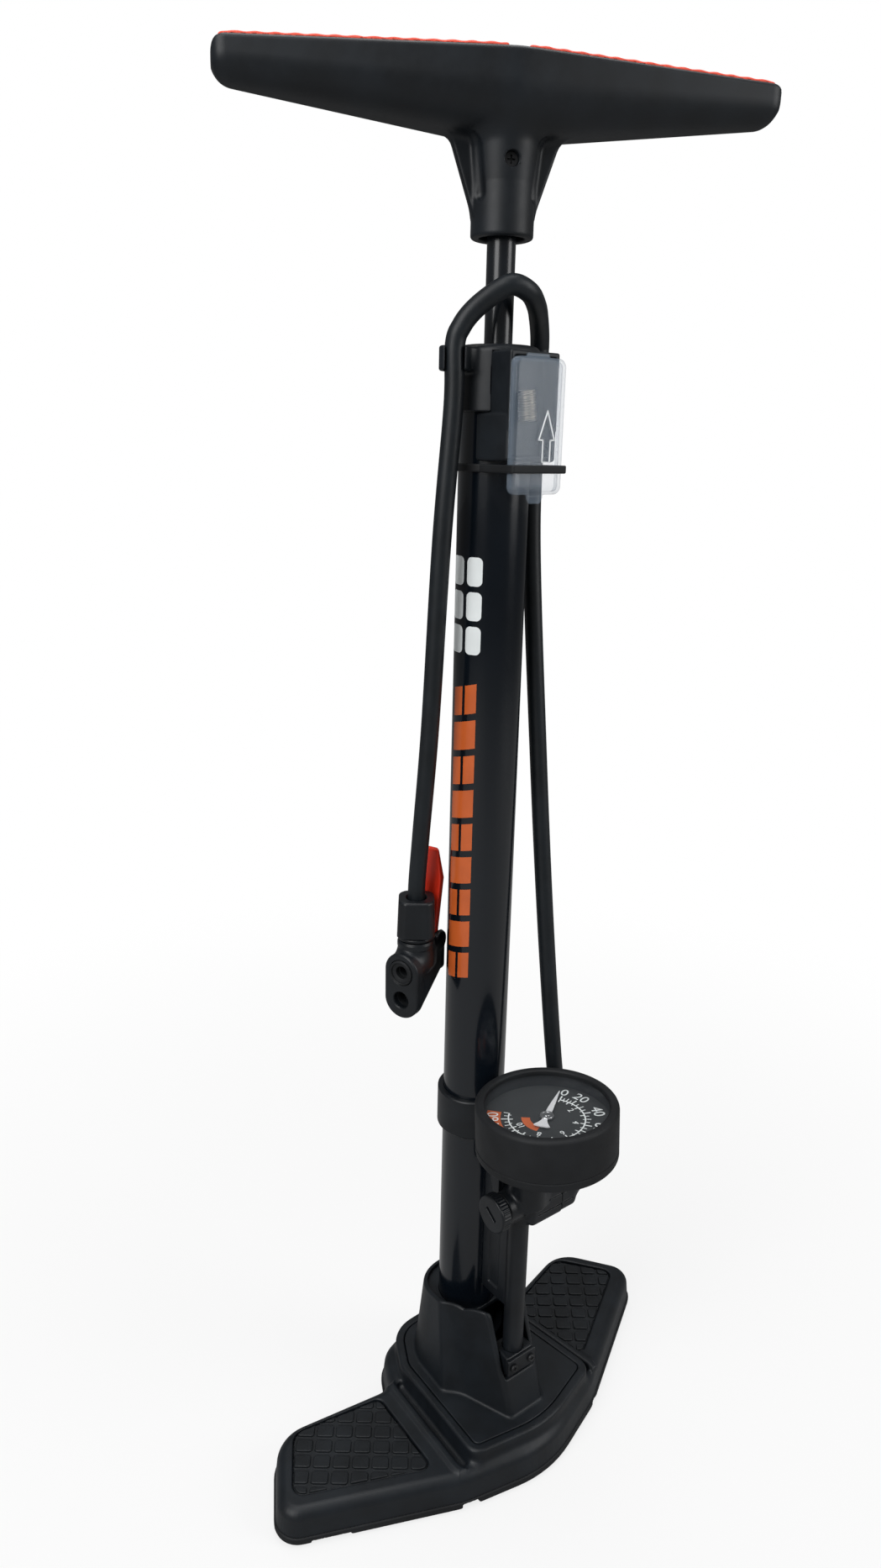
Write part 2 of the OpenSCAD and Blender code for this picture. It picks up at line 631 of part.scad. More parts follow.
// Section of the handle: flat top, straight sides and a rounded underside
function handle_section(depth, top, bottom) =
  let (r = min(depth / 2 - 0.5, (top - bottom) * 0.62), h = depth / 2)
  concat([[-h, top], [-h, bottom + r]],
    [for (a = [195 : 15 : 345]) [(h - r) * cos(a) + r * cos(a), bottom + r + r * sin(a)]],
    [[h, bottom + r], [h, top]]);

module handle_slice(x, depth, top, bottom) {
  translate([x, 0, 0]) rotate([90, 0, 90]) linear_extrude(0.2) polygon(handle_section(depth, top, bottom));
}

module handle_body() {
  end_top = handle_top - 1;
  end_bottom = end_top - 14.5;
  color("#1b1e21") at_handle() difference() {
    union() {
      hull() {
        handle_slice(-handle_half, handle_end_depth, end_top, end_bottom);
        handle_slice(-0.1, handle_mid_depth, handle_top, handle_under);
        handle_slice(handle_half - 0.2, handle_end_depth, end_top, end_bottom);
      }
      translate([0, 0, collar_z]) cylinder(r = 13.2, h = 45);
      // gussets that flare from the collar to the handle
      for (a = [0, 90, 180, 270]) rotate([0, 0, a]) hull() {
        translate([11, -2, collar_z + 18]) cube([1.5, 4, 1]);
        translate([11, -2.5, handle_under + 3]) cube([a % 180 == 0 ? 15 : 8, 5, 1]);
      }
    }
    translate([0, 0, collar_z - eps]) cylinder(r = rod_r + gap, h = 50.6);
    translate([0, 0, collar_z - eps]) cylinder(r = 9.5, h = 8);
    translate([0, -30, collar_z + 27.5]) along_y() cylinder(r = 3, h = 21);
    translate([0, -30, collar_z + 27.5]) along_y() cylinder(r = 1.6 + gap, h = 30);
  }
}

// A soft pad on one wing of the handle, following the wing's slope
module grip(side) {
  pad_h = 1.9;
  x0 = 4;
  x1 = handle_half - 3;
  slope_z = 1 / handle_half;
  half = function (x) (handle_mid_depth + (handle_end_depth - handle_mid_depth) * x / handle_half) / 2 - 2;
  at_handle() mirror([side < 0 ? 1 : 0, 0, 0]) hull() {
    for (x = [x0, x1], s = [-1, 1], k = [0, 1])
      translate([x, s * (half(x) - k * 1.2) - 0.1, handle_top + gap - x * slope_z + k * (pad_h - 0.7)])
        cube([0.2, 0.2, 0.7]);
  }
}
module left_grip() { color("#dc4a36") grip(-1); }
module right_grip() { color("#dc4a36") grip(1); }

module handle_screw() {
  color("#3a3d40") at_handle() translate([0, -11.6, collar_z + 27.5]) rotate([90, 0, 0]) screw(2.8, 2, 1.5, 10.5);
}

// ---------- adapter box ----------

box_low = 518;
box_high = 562;
lid_low = 504.7;
lid_high = 559.5;

module adapter_box() {
  color("#17191c") difference() {
    union() {
      translate([-box_half, box_front, box_low]) cube([2 * box_half, -12.5 - gap - box_front, box_high - box_low]);
      // cheeks that widen towards the barrel below the cap
      translate([0, 0, box_low]) linear_extrude(cap_low - 2 * gap - box_low)
        polygon([[-box_half, box_front], [box_half, box_front], [box_half + 2, -5.5], [-box_half - 2, -5.5]]);
    }
    translate([0, 0, box_low - eps]) cylinder(r = barrel_r + gap, h = box_high);
    translate([-box_half + 1.8, box_front - eps, box_low + 2]) cube([2 * box_half - 3.6, 7.8 + eps, box_high - box_low - 4]);
  }
}

// A clear tray, open towards the box
module lid_shape(x, y0, y1, z0, z1, r) {
  translate([0, y1, 0]) rotate([90, 0, 0]) linear_extrude(y1 - y0)
    polygon(rounded([[-x, z0], [x, z0], [x, z1], [-x, z1]], [r, r, r, r], 4));
}

module box_lid() {
  color("#dfe7ea", 0.35) difference() {
    union() {
      lid_shape(14, box_front - 4.2, box_front - gap, lid_low, lid_high, 3.5);
      translate([0, box_front - 3, lid_low + 0.8]) rotate([90, 0, 0]) translate([0, 0, -1.5]) cylinder(r = 4, h = 1.5);
      translate([-6, box_front - 1.6, lid_high - eps]) cube([12, 1.5, 1.5 + eps]);
    }
    lid_shape(12.8, box_front - 3, box_front + 1, lid_low + 1.2, lid_high - 1.2, 2.3);
  }
}

module retaining_strap() {
  low = 513.4;
  reach = box_front - 4.2 - gap;
  color("#141618") difference() {
    translate([0, 0, low]) union() {
      cylinder(r = barrel_r + 1.6, h = 3.4);
      translate([-14 - 1.4, reach - 1.4, 0]) cube([30.8, -reach + 1.4, 3.4]);
    }
    translate([0, 0, low - eps]) cylinder(r = barrel_r + gap, h = 5);
    translate([-14 - gap, reach, low - eps]) cube([28 + 2 * gap, -reach - 12, 5]);
    translate([-20, -2, low - eps]) difference() {
      cube([40, 30, 5]);
      translate([20, 2, -eps]) cylinder(r = barrel_r + 1.6, h = 8);
    }
  }
}

module presta_adapter() {
  color("#b9b2a2") translate([0.2, box_front + 3.9, 534.5]) rotate([0, -8, 0]) difference() {
    union() {
      cylinder(r = 3.5, h = 11.5);
      for (i = [0 : 9]) translate([0, 0, 1 + i]) cylinder(r = 3.8, h = 0.5);
    }
    translate([0, 0, -eps]) cylinder(r = 2.2, h = 13);
  }
}

// ---------- valve head ----------

module at_chuck() { translate([chuck_x, chuck_y, 0]) rotate([0, 0, chuck_turn]) children(); }

// A square nut with cut corners
nut_half = 9.4;
nut_corner = 7.1;
nut_turn = 33.7;
module nut_outline() {
  rotate([0, 0, nut_turn]) polygon([[nut_half, nut_corner], [nut_corner, nut_half],
    [-nut_corner, nut_half], [-nut_half, nut_corner], [-nut_half, -nut_corner], [-nut_corner, -nut_half],
    [nut_corner, -nut_half], [nut_half, -nut_corner]]);
}

module chuck_nut() {
  color("#191c1f") at_chuck() translate([0, 0, nut_z + gap]) difference() {
    union() {
      cylinder(r = 9.2, h = 1.8);
      cylinder(r = 8.5, h = nut_h);
      translate([0, 0, 2.4]) linear_extrude(nut_h - 3.9) nut_outline();
    }
    translate([0, 0, -eps]) cylinder(r = 6.5, h = 8 + eps);
    cylinder(r = hose_d / 2 + 0.45, h = nut_h + eps);
  }
}

module chuck_body() {
  color("#1b1e21") at_chuck() difference() {
    union() {
      hull() {
        for (z = port_z) translate([face_x - 6, 0, z]) along_x() cylinder(r = 9.8, h = 6, $fn = 40);
        translate([0, 0, nut_z - 7]) cylinder(r = 9, h = 6.5, $fn = 40);
        for (z = [pivot_z, pivot_z - 13]) translate([pivot_x, -6, z]) along_y() cylinder(r = 4.5, h = 12, $fn = 32);
      }
      translate([0, 0, nut_z - 1]) cylinder(r = 6.4, h = 7);
    }
    // hose socket, air passages and the two ports with their seal pockets
    translate([0, 0, nut_z + 1]) cylinder(r = hose_d / 2 + 0.15, h = 10);
    translate([0, 0, port_z[0] - 1.5]) cylinder(r = 1.8, h = 30);
    translate([-1, 0, port_z[0]]) along_x() cylinder(r = 2.4, h = 6);
    translate([face_x - 10, 0, port_z[0]]) along_x() cylinder(r = port_ring_r, h = 12);
    translate([face_x - 4.7, 0, port_z[1]]) cylinder(r = 1, h = 12);
    translate([face_x - 5.8, 0, port_z[1]]) along_x() cylinder(r = 5.3, h = 2.4);
    translate([face_x - 5, 0, port_z[1]]) along_x() cylinder(r = schrader_d / 2, h = 8);
    // slot for the lever, and the hole for its pin
    translate([-24, -3.3, pivot_z - 5.2]) cube([24 - 9.4, 6.6, 20]);
    translate([pivot_x, -8, pivot_z]) along_y() cylinder(r = 1.5 + gap, h = 16);
  }
}

module chuck_lever() {
  module blade(z, back, front, half) {
    translate([pivot_x - back, -half, z]) cube([back + front, 2 * half, 0.6]);
  }
  tip = pivot_z + 49.5;
  color("#f0301a") at_chuck() difference() {
    union() {
      translate([pivot_x, -3.2, pivot_z]) along_y() cylinder(r = 4, h = 6.4);
      hull() {
        blade(pivot_z + 1, 2.5, 2.6, 3.2);
        blade(pivot_z + 6.5, 2.5, 2.6, 3.2);
      }
      hull() {
        blade(pivot_z + 6, 2.5, 2.4, 3.6);
        blade(pivot_z + 34, 3, 2.2, 6);
        blade(tip - 0.6, 0.5, 2.6, 4.2);
      }
    }
    translate([pivot_x, -8, pivot_z]) along_y() cylinder(r = 1.5 + gap, h = 16);
  }
}

module chuck_lever_pin() {
  color("#33363a") at_chuck() translate([pivot_x, -6.6, pivot_z]) along_y() cylinder(r = 1.5, h = 13.2);
}

module presta_port_ring() {
  color("#23262a") at_chuck() translate([face_x - 3, 0, port_z[0]]) along_x() tube(port_ring_r - gap, presta_d / 2, 4);
}

module presta_seal() {
  color("#101010") at_chuck() translate([face_x - 10 + gap, 0, port_z[0]]) along_x() tube(port_ring_r - 0.1, 2.7, 6.8);
}

module schrader_seal() {
  color("#101010") at_chuck() translate([face_x - 5.8 + gap, 0, port_z[1]]) along_x() tube(5.2, 4, 2.4 - 2 * gap);
}

// ---------- nodes ----------

base_body();
base_underplate();
rubber_feet();
left_tread();
right_tread();
barrel_socket();
socket_screws();
foot_block();
barrel_gasket();
check_valve_disc();
check_valve_spring();
stem_clamp();
stem_clamp_screws();
stem_tube();
stem_seals();
barrel();
gauge_bracket();
manifold();
manifold_plug();
plug_seal();
hose_elbow();
hose_ferrule();
hose();
gauge_stem();
gauge_boot();
gauge_case();
gauge_dial();
gauge_lens();
gauge_needle();
gauge_movement();
sector_gear();
bourdon_tube();
barrel_cap();
rod_bushing();
rod_wiper();
piston_rod();
piston_head();
piston_ring();
piston_nut();
handle_body();
left_grip();
right_grip();
handle_screw();
adapter_box();
box_lid();
retaining_strap();
presta_adapter();
chuck_nut();
chuck_body();
chuck_lever();
chuck_lever_pin();
presta_port_ring();
presta_seal();
schrader_seal();
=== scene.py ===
"""Looks for the floor bike pump: moulded plastic, painted tubes, rubber, a clear lid and a printed dial.

Lengths in this file are millimetres in the part's own frame; meshes are written in metres.
"""

from math import acos, atan2, cos, pi, radians, sin, sqrt, tan

import bmesh
import bpy
import numpy as np
from mathutils import Matrix, Vector
from numpy import hypot, maximum, minimum


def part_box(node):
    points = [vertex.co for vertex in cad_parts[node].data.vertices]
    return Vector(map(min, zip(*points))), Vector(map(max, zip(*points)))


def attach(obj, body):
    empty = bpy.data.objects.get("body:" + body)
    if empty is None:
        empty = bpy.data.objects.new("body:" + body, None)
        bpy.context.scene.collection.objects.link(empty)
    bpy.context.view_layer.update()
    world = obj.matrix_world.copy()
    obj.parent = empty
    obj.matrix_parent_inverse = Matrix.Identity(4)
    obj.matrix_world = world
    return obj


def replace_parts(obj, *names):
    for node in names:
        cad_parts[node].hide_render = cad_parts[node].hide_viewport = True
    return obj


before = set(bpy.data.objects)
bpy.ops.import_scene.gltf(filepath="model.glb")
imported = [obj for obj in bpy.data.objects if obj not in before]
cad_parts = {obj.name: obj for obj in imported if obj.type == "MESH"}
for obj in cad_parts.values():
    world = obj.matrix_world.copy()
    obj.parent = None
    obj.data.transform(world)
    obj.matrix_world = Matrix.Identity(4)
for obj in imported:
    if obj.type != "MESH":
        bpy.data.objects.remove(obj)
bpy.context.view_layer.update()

MM = 0.001
FINE = 1.0


# ---- frame places

def node_box(name):
    """Lowest and highest corner of a CAD node, in millimetres."""
    low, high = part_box(name)
    return np.array(low) / MM, np.array(high) / MM


BARREL = node_box("barrel")
BARREL_R = (BARREL[1][0] - BARREL[0][0]) / 2
ROD = node_box("piston_rod")
ROD_R = (ROD[1][0] - ROD[0][0]) / 2
COLLAR_Z = node_box("handle_body")[0][2]
HANDLE_TURN = radians(-26)
CAP_TOP = node_box("barrel_cap")[1][2]
STEM_Y = -40.0
STEM_R = 5.5
MAN_Y, MAN_Z = -43.0, 156.5
BOSS_Y = -46.0
GAUGE_Y, GAUGE_Z, GAUGE_TILT = -55.8, 220.4, radians(4.2)
BOOT_R, BOOT_H = 35.2, 27.0
CHUCK_X, CHUCK_Y, CHUCK_TURN = -30.0, 12.8, radians(199.9)
PORT_Z = (275.2, 260.2)
FACE_X, PIVOT_X, PIVOT_Z, NUT_Z = 13.0, -14.4, 284.0, 290.0
RIM_Z, PLATE_Z, UNDER_Z, TOWER_Z = 20.5, 28.0, 6.0, 84.0
BOX_FRONT = -25.0


# ---- materials

def add_node(tree, kind, inputs):
    """Adds a shader node. Each input gets a value or another node's output."""
    node = tree.nodes.new("ShaderNode" + kind)
    set_inputs(tree, node, inputs)
    return node


def set_inputs(tree, node, inputs):
    for key, value in inputs.items():
        if isinstance(value, bpy.types.NodeSocket):
            tree.links.new(value, node.inputs[key])
        else:
            node.inputs[key].default_value = value


def new_material(name):
    material = bpy.data.materials.new(name)
    material.use_nodes = True
    tree = material.node_tree
    tree.nodes.clear()
    shader = add_node(tree, "BsdfPrincipled", {})
    add_node(tree, "OutputMaterial", {"Surface": shader.outputs["BSDF"]})
    return material, tree, shader


def noise(tree, scale, detail=2.0, rough=0.5, stretch=(1, 1, 1)):
    """A noise pattern in object space; scale is features per metre."""
    place = add_node(tree, "TexCoord", {}).outputs["Object"]
    place = add_node(tree, "Mapping", {"Vector": place, "Scale": stretch}).outputs["Vector"]
    inputs = {"Vector": place, "Scale": scale, "Detail": detail, "Roughness": rough}
    return add_node(tree, "TexNoise", inputs).outputs["Fac"]


def value_range(tree, source, low, high):
    return add_node(tree, "MapRange", {"Value": source, "To Min": low, "To Max": high}).outputs["Result"]


def surface(name, colour, rough, grain, bump, spec=0.5, vary=0.25, distance=0.02, coat=0.0, metal=0.0,
            patch=60, stretch=(1, 1, 1)):
    """A moulded or painted finish: broad colour drift, uneven roughness and a fine grain bump."""
    material, tree, shader = new_material(name)
    ramp = add_node(tree, "ValToRGB", {"Fac": noise(tree, patch, 3)})
    for element, spot, shift in zip(ramp.color_ramp.elements, (0.35, 0.65), (-vary, vary)):
        element.position = spot
        element.color = (*(min(c * (1 + shift), 1) for c in colour), 1)
    gloss = value_range(tree, noise(tree, patch * 4, 4, 0.6), *rough)
    height = noise(tree, grain, 2, 0.5, stretch)
    relief = add_node(tree, "Bump", {"Height": height, "Strength": bump, "Distance": distance * MM * 10})
    set_inputs(tree, shader, {
        "Base Color": ramp.outputs["Color"], "Roughness": gloss, "Normal": relief.outputs["Normal"],
        "Metallic": metal, "Specular IOR Level": spec, "Coat Weight": coat, "Coat Roughness": 0.04})
    return material


def clear(name, tint, rough=0.03, alpha=0.28, spec=0.5):
    """A thin clear moulding: mostly see-through, with a glossy skin and a faint milky tint. Its opacity, and
    with it the tint, rises where the surface is seen edge-on: a painted edge highlight.
    """
    material, tree, shader = new_material(name)
    # painted edge highlight: the surface turns more opaque where it is seen edge-on
    painted_edge_glint = add_node(tree, "LayerWeight", {"Blend": 0.35}).outputs["Facing"]
    set_inputs(tree, shader, {
        "Roughness": value_range(tree, noise(tree, 900, 3), rough, rough * 2.5),
        "Alpha": value_range(tree, painted_edge_glint, alpha, min(alpha * 3.2, 1)), "Base Color": (*tint, 1),
        "Specular IOR Level": spec})
    return material


BLACK = surface("black_plastic", (0.0058, 0.0080, 0.0108), (0.40, 0.52), 2600, 0.10, 0.35, distance=0.012)
BLACK_FINE = surface("black_plastic_fine", (0.0065, 0.0082, 0.0105), (0.33, 0.45), 4200, 0.06, 0.35,
                     distance=0.01)
TREAD = surface("tread_plastic", (0.0070, 0.0088, 0.0110), (0.46, 0.60), 2200, 0.16, 0.35, distance=0.015)
RUBBER = surface("black_rubber", (0.0080, 0.0090, 0.0105), (0.55, 0.70), 1800, 0.12, 0.3)
HOSE = surface("hose_rubber", (0.0060, 0.0085, 0.0110), (0.38, 0.52), 1500, 0.10, 0.35, stretch=(1, 1, 0.2))
PAINT = surface("barrel_paint", (0.0030, 0.0050, 0.0080), (0.16, 0.22), 700, 0.02, 0.4, 0.12, coat=0.3,
                patch=25)
ROD_PAINT = surface("rod_paint", (0.0060, 0.0080, 0.0105), (0.22, 0.30), 900, 0.03, 0.4, 0.15, coat=0.2,
                    patch=30)
GRIP = surface("red_grip", (0.74, 0.085, 0.050), (0.50, 0.64), 2400, 0.18, 0.3, 0.08)
LEVER = surface("red_lever", (0.88, 0.040, 0.014), (0.26, 0.34), 2600, 0.04, 0.4, 0.05)
WHITE_PRINT = surface("white_print", (0.80, 0.84, 0.84), (0.35, 0.45), 2600, 0.03, vary=0.03)
ORANGE_PRINT = surface("orange_print", (0.56, 0.110, 0.022), (0.26, 0.34), 2600, 0.03, vary=0.08, coat=0.2)
# the dial is black; its colour is lifted to a dark grey that stands in for the glass's reflection, a painted
# reflection
DIAL_AND_GLARE = surface("dial_black", (0.022, 0.024, 0.025), (0.55, 0.65), 3200, 0.05, 0.3, 0.10)
SILVER = surface("needle_silver", (0.80, 0.81, 0.83), (0.28, 0.38), 2500, 0.04, vary=0.04, metal=0.2)
NICKEL = surface("nickel", (0.56, 0.52, 0.44), (0.24, 0.38), 2400, 0.08, vary=0.12, metal=1.0)
BRASS = surface("brass", (0.62, 0.43, 0.17), (0.25, 0.36), 1500, 0.08, vary=0.12, metal=1.0,
                stretch=(1, 1, 8))
STEEL = surface("zinc_steel", (0.48, 0.49, 0.50), (0.28, 0.42), 1600, 0.08, vary=0.12, metal=1.0)
DARK_STEEL = surface("black_steel", (0.030, 0.031, 0.033), (0.32, 0.45), 1600, 0.08, metal=0.6)
ENAMEL = surface("gauge_steel", (0.008, 0.009, 0.011), (0.30, 0.40), 1600, 0.04, 0.4)
WHITE_NYLON = surface("white_nylon", (0.72, 0.70, 0.64), (0.45, 0.55), 2000, 0.06, vary=0.05)
LID_CLEAR = clear("clear_lid", (0.34, 0.42, 0.52), alpha=0.125, spec=0.7)
LID_MARK = clear("lid_mark", (0.95, 0.97, 0.98), alpha=0.75)
LENS = clear("gauge_glass", (0.30, 0.33, 0.36), rough=0.02, alpha=0.02, spec=0.35)


# ---- meshes

def new_object(name, data):
    obj = bpy.data.objects.new(name, data)
    bpy.context.scene.collection.objects.link(obj)
    return obj


def add_mesh(name, verts, faces, material, body="pump", normals=None, sharp=None):
    """A mesh from millimetre points that rides on a body."""
    mesh = bpy.data.meshes.new(name)
    verts = np.asarray(verts, float) * MM
    mesh.from_pydata(verts.tolist(), [], [list(map(int, f)) for f in faces])
    mesh.shade_smooth()
    mesh.materials.append(material)
    if sharp is not None:
        mesh.set_sharp_from_angle(angle=radians(sharp))
    if normals is not None:
        mesh.normals_split_custom_set_from_vertices(np.asarray(normals, float).tolist())
    mesh.validate()
    obj = new_object(name, mesh)
    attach(obj, body)
    return obj


def polar(r, a):
    return r * cos(a), r * sin(a)


def unit(v):
    v = np.asarray(v, float)
    return v / np.linalg.norm(v)


def rounded(points, radii, n=8):
    """Points of a polygon whose corners are rounded."""
    out = []
    count = len(points)
    for i in range(count):
        a, b, c = (np.array(points[(i + k) % count], float) for k in (-1, 0, 1))
        r = radii[i]
        if r <= 0:
            out.append(b)
            continue
        u, v = unit(a - b), unit(c - b)
        half = acos(max(-1, min(1, float(u @ v)))) / 2
        centre = b + unit(u + v) * r / sin(half)
        s = b + u * r / tan(half) - centre
        e = b + v * r / tan(half) - centre
        a0 = atan2(s[1], s[0])
        turn = (atan2(e[1], e[0]) - a0 + pi) % (2 * pi) - pi
        for k in range(n + 1):
            out.append(centre + polar(r, a0 + turn * k / n))
    return np.array(out)


def lathe(name, node, profile, material, body="pump", place=None, segments=96, sharp=35):
    """A closed profile of (radius, height) points turned about +Z, moved by place, in a CAD node's stead."""
    profile = np.asarray(profile, float)
    angles = np.linspace(0, 2 * pi, segments, endpoint=False)
    verts, rows = [], []
    for r, z in profile:
        if r < 1e-6:
            rows.append([len(verts)] * segments)
            verts.append((0, 0, z))
        else:
            rows.append(list(range(len(verts), len(verts) + segments)))
            verts.extend((r * cos(a), r * sin(a), z) for a in angles)
    faces = []
    for i in range(len(rows)):
        j = (i + 1) % len(rows)
        for k in range(segments):
            m = (k + 1) % segments
            face = list(dict.fromkeys((rows[i][k], rows[i][m], rows[j][m], rows[j][k])))
            if len(face) >= 3:
                faces.append(face)
    verts = np.array(verts)
    if place is not None:
        verts = place(verts)
    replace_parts(add_mesh(name, verts, faces, material, body, sharp=sharp), node)


def loft(name, rings, material, body="pump", sharp=40):
    """A closed skin through rings that all have as many points, with flat ends."""
    rings = np.asarray(rings, float)
    count, n = rings.shape[:2]
    faces = [(i * n + k, i * n + (k + 1) % n, (i + 1) * n + (k + 1) % n, (i + 1) * n + k)
             for i in range(count - 1) for k in range(n)]
    faces += [range(n)[::-1], range((count - 1) * n, count * n)]
    return add_mesh(name, rings.reshape(-1, 3), faces, material, body, sharp=sharp)


def sweep(name, path, radius, material, sides=24):
    """A round bar along a smooth path."""
    tangents = np.gradient(path, axis=0)
    tangents /= np.linalg.norm(tangents, axis=1)[:, None]
    side = unit(np.cross(tangents[0], [0.3, 1, 0.1]))
    angles = 2 * pi * np.arange(sides)[:, None] / sides
    rings = []
    for p, t in zip(path, tangents):
        side = unit(side - t * (side @ t))
        rings.append(p + radius * (np.cos(angles) * side + np.sin(angles) * np.cross(t, side)))
    return loft(name, rings, material, sharp=50)


def spline(points, k):
    """A Catmull-Rom curve through the points, k pieces to a span."""
    p = np.asarray(points, float)
    out = []
    for i in range(len(p) - 1):
        a, b, c, d = p[max(i - 1, 0)], p[i], p[i + 1], p[min(i + 2, len(p) - 1)]
        for t in np.arange(k) / k:
            out.append(0.5 * (2 * b + (c - a) * t + (2 * a - 5 * b + 4 * c - d) * t * t
                              + (3 * b - a - 3 * c + d) * t ** 3))
    out.append(p[-1])
    return np.array(out)


# ---- solids from distance functions

def turned(x, y, angle):
    """Turns a pair of coordinates by an angle, anticlockwise."""
    c, s = cos(angle), sin(angle)
    return x * c - y * s, x * s + y * c


def smin(a, b, k):
    h = maximum(k - abs(a - b), 0) / k
    return minimum(a, b) - h * h * k / 4


def smax(a, b, k):
    return -smin(-a, -b, k)


def cut(d, tool, k=0.0):
    """Takes a tool's shape out of d, with an edge eased by k."""
    return smax(d, -tool, k) if k else maximum(d, -tool)


def meet(a, b, r=0.0):
    """The shape inside both a and b, with the corner between them rounded."""
    a, b = a + r, b + r
    return hypot(maximum(a, 0), maximum(b, 0)) + minimum(maximum(a, b), 0) - r


def d_rect(x, y, hx, hy, r=0.0):
    return meet(abs(x) - hx, abs(y) - hy, r)


def d_extrude(d, z, low, high, r=0.0):
    return meet(d, abs(z - (low + high) / 2) - (high - low) / 2, r)


def d_box(x, y, z, low, high, r=0.0):
    c = [(a + b) / 2 for a, b in zip(low, high)]
    h = [(b - a) / 2 for a, b in zip(low, high)]
    q = [abs(v - m) - s + r for v, m, s in zip((x, y, z), c, h)]
    outside = np.sqrt(sum(maximum(v, 0) ** 2 for v in q))
    return outside + minimum(maximum(maximum(q[0], q[1]), q[2]), 0) - r


def d_cyl(u, v, w, radius, low, high, r=0.0):
    """A cylinder along the third coordinate."""
    return d_extrude(hypot(u, v) - radius, w, low, high, r)


def d_capsule(x, y, z, a, b, radius):
    axis = np.subtract(b, a)
    p = np.stack([x, y, z], -1) - a
    t = np.clip(p @ axis / (axis @ axis), 0, 1)
    return np.linalg.norm(p - t[:, None] * axis, axis=1) - radius


class Outline:
    """Signed distance to a closed 2D outline, looked up from a fine grid."""

    def __init__(self, points, pad=22.0, step=0.5):
        p = np.asarray(points, float)
        self.low = p.min(0) - pad
        self.step = step
        n = np.ceil((p.max(0) + pad - self.low) / step).astype(int) + 1
        gx = self.low[0] + step * np.arange(n[0])
        gy = self.low[1] + step * np.arange(n[1])
        x, y = np.meshgrid(gx, gy, indexing="ij")
        best = np.full(x.shape, 1e9)
        inside = np.zeros(x.shape, bool)
        for a, b in zip(p, np.roll(p, -1, axis=0)):
            e = b - a
            size = e @ e
            if size < 1e-12:
                continue
            t = np.clip(((x - a[0]) * e[0] + (y - a[1]) * e[1]) / size, 0, 1)
            best = minimum(best, (x - a[0] - t * e[0]) ** 2 + (y - a[1] - t * e[1]) ** 2)
            spans = (a[1] > y) != (b[1] > y)
            if a[1] != b[1]:
                inside ^= spans & (x < a[0] + (y - a[1]) * e[0] / e[1])
        self.grid = np.where(inside, -1, 1) * np.sqrt(best)

    def __call__(self, x, y):
        g, size = self.grid, np.array(self.grid.shape)[:, None]
        spot = np.clip((np.stack([x, y]) - self.low[:, None]) / self.step, 0, size - 1.001)
        i, j = spot.astype(int)
        u, v = spot - (i, j)
        return ((g[i, j] * (1 - u) + g[i + 1, j] * u) * (1 - v)
                + (g[i, j + 1] * (1 - u) + g[i + 1, j + 1] * u) * v)


BLOCK = 8


def surface_net(func, low, high, step):
    """Vertices, quads and normals of the zero surface of a distance function."""
    low = np.array(low) - 2 * step
    blocks = np.ceil((np.array(high) + 2 * step - low) / step / BLOCK).astype(int) + 1
    mid = [low[i] + (np.arange(blocks[i]) * BLOCK + (BLOCK - 1) / 2) * step for i in range(3)]
    x, y, z = (g.ravel() for g in np.meshgrid(*mid, indexing="ij"))
    coarse = func(x, y, z).reshape(blocks)
    field = coarse.astype(np.float32)
    for axis in range(3):
        field = np.repeat(field, BLOCK, axis)
    active = np.argwhere(abs(coarse) < step * BLOCK * 1.5)
    offsets = np.stack(np.meshgrid(*[np.arange(BLOCK)] * 3, indexing="ij"), -1).reshape(-1, 3)
    for start in range(0, len(active), 500):
        cells = (active[start:start + 500, None, :] * BLOCK + offsets[None]).reshape(-1, 3)
        p = low + cells * step
        field[tuple(cells.T)] = func(*p.T)
    solid = field < 0
    count = np.zeros([n - 1 for n in solid.shape], np.int8)
    corners = [(i, j, k) for i in (0, 1) for j in (0, 1) for k in (0, 1)]
    for corner in corners:
        count += solid[tuple(slice(c, n - 1 + c) for c, n in zip(corner, solid.shape))]
    mixed = (count > 0) & (count < 8)
    cells = np.argwhere(mixed)
    index = np.full(mixed.shape, -1, np.int64)
    index[mixed] = np.arange(len(cells))
    total, hits = np.zeros((len(cells), 3)), np.zeros(len(cells))
    for axis in range(3):
        for corner in (c for c in corners if not c[axis]):
            a = cells + corner
            b = a.copy()
            b[:, axis] += 1
            fa, fb = field[tuple(a.T)], field[tuple(b.T)]
            cross = (fa < 0) != (fb < 0)
            spot = np.tile(np.array(corner, float), (len(cells), 1))
            spot[:, axis] = np.where(cross, fa / np.where(cross, fa - fb, 1), 0)
            total += np.where(cross[:, None], spot, 0)
            hits += cross
    verts = low + step * (cells + total / hits[:, None])
    quads = []
    for axis in range(3):
        u, v = (axis + 1) % 3, (axis + 2) % 3
        first = np.take(solid, range(solid.shape[axis] - 1), axis)
        second = np.take(solid, range(1, solid.shape[axis]), axis)
        edges = np.argwhere(first != second)
        edges = edges[(edges[:, u] > 0) & (edges[:, v] > 0)]
        ring = []
        for du, dv in ((1, 1), (0, 1), (0, 0), (1, 0)):
            e = edges.copy()
            e[:, u] -= du
            e[:, v] -= dv
            ring.append(index[tuple(e.T)])
        ring = np.stack(ring, 1)
        flip = ~first[tuple(edges.T)]
        ring[flip] = ring[flip][:, ::-1]
        quads.append(ring)
    quads = np.concatenate(quads)
    h = 0.2 * step
    start = verts.copy()
    for _ in range(3):
        value = func(*verts.T)
        slope = gradient(func, verts, h)
        move = verts - np.clip(value, -step, step)[:, None] * slope - start
        far = np.linalg.norm(move, axis=1)
        limit = minimum(1, 0.6 * step / maximum(far, 1e-9))
        verts = start + move * limit[:, None]
    return verts, quads, gradient(func, verts, h)


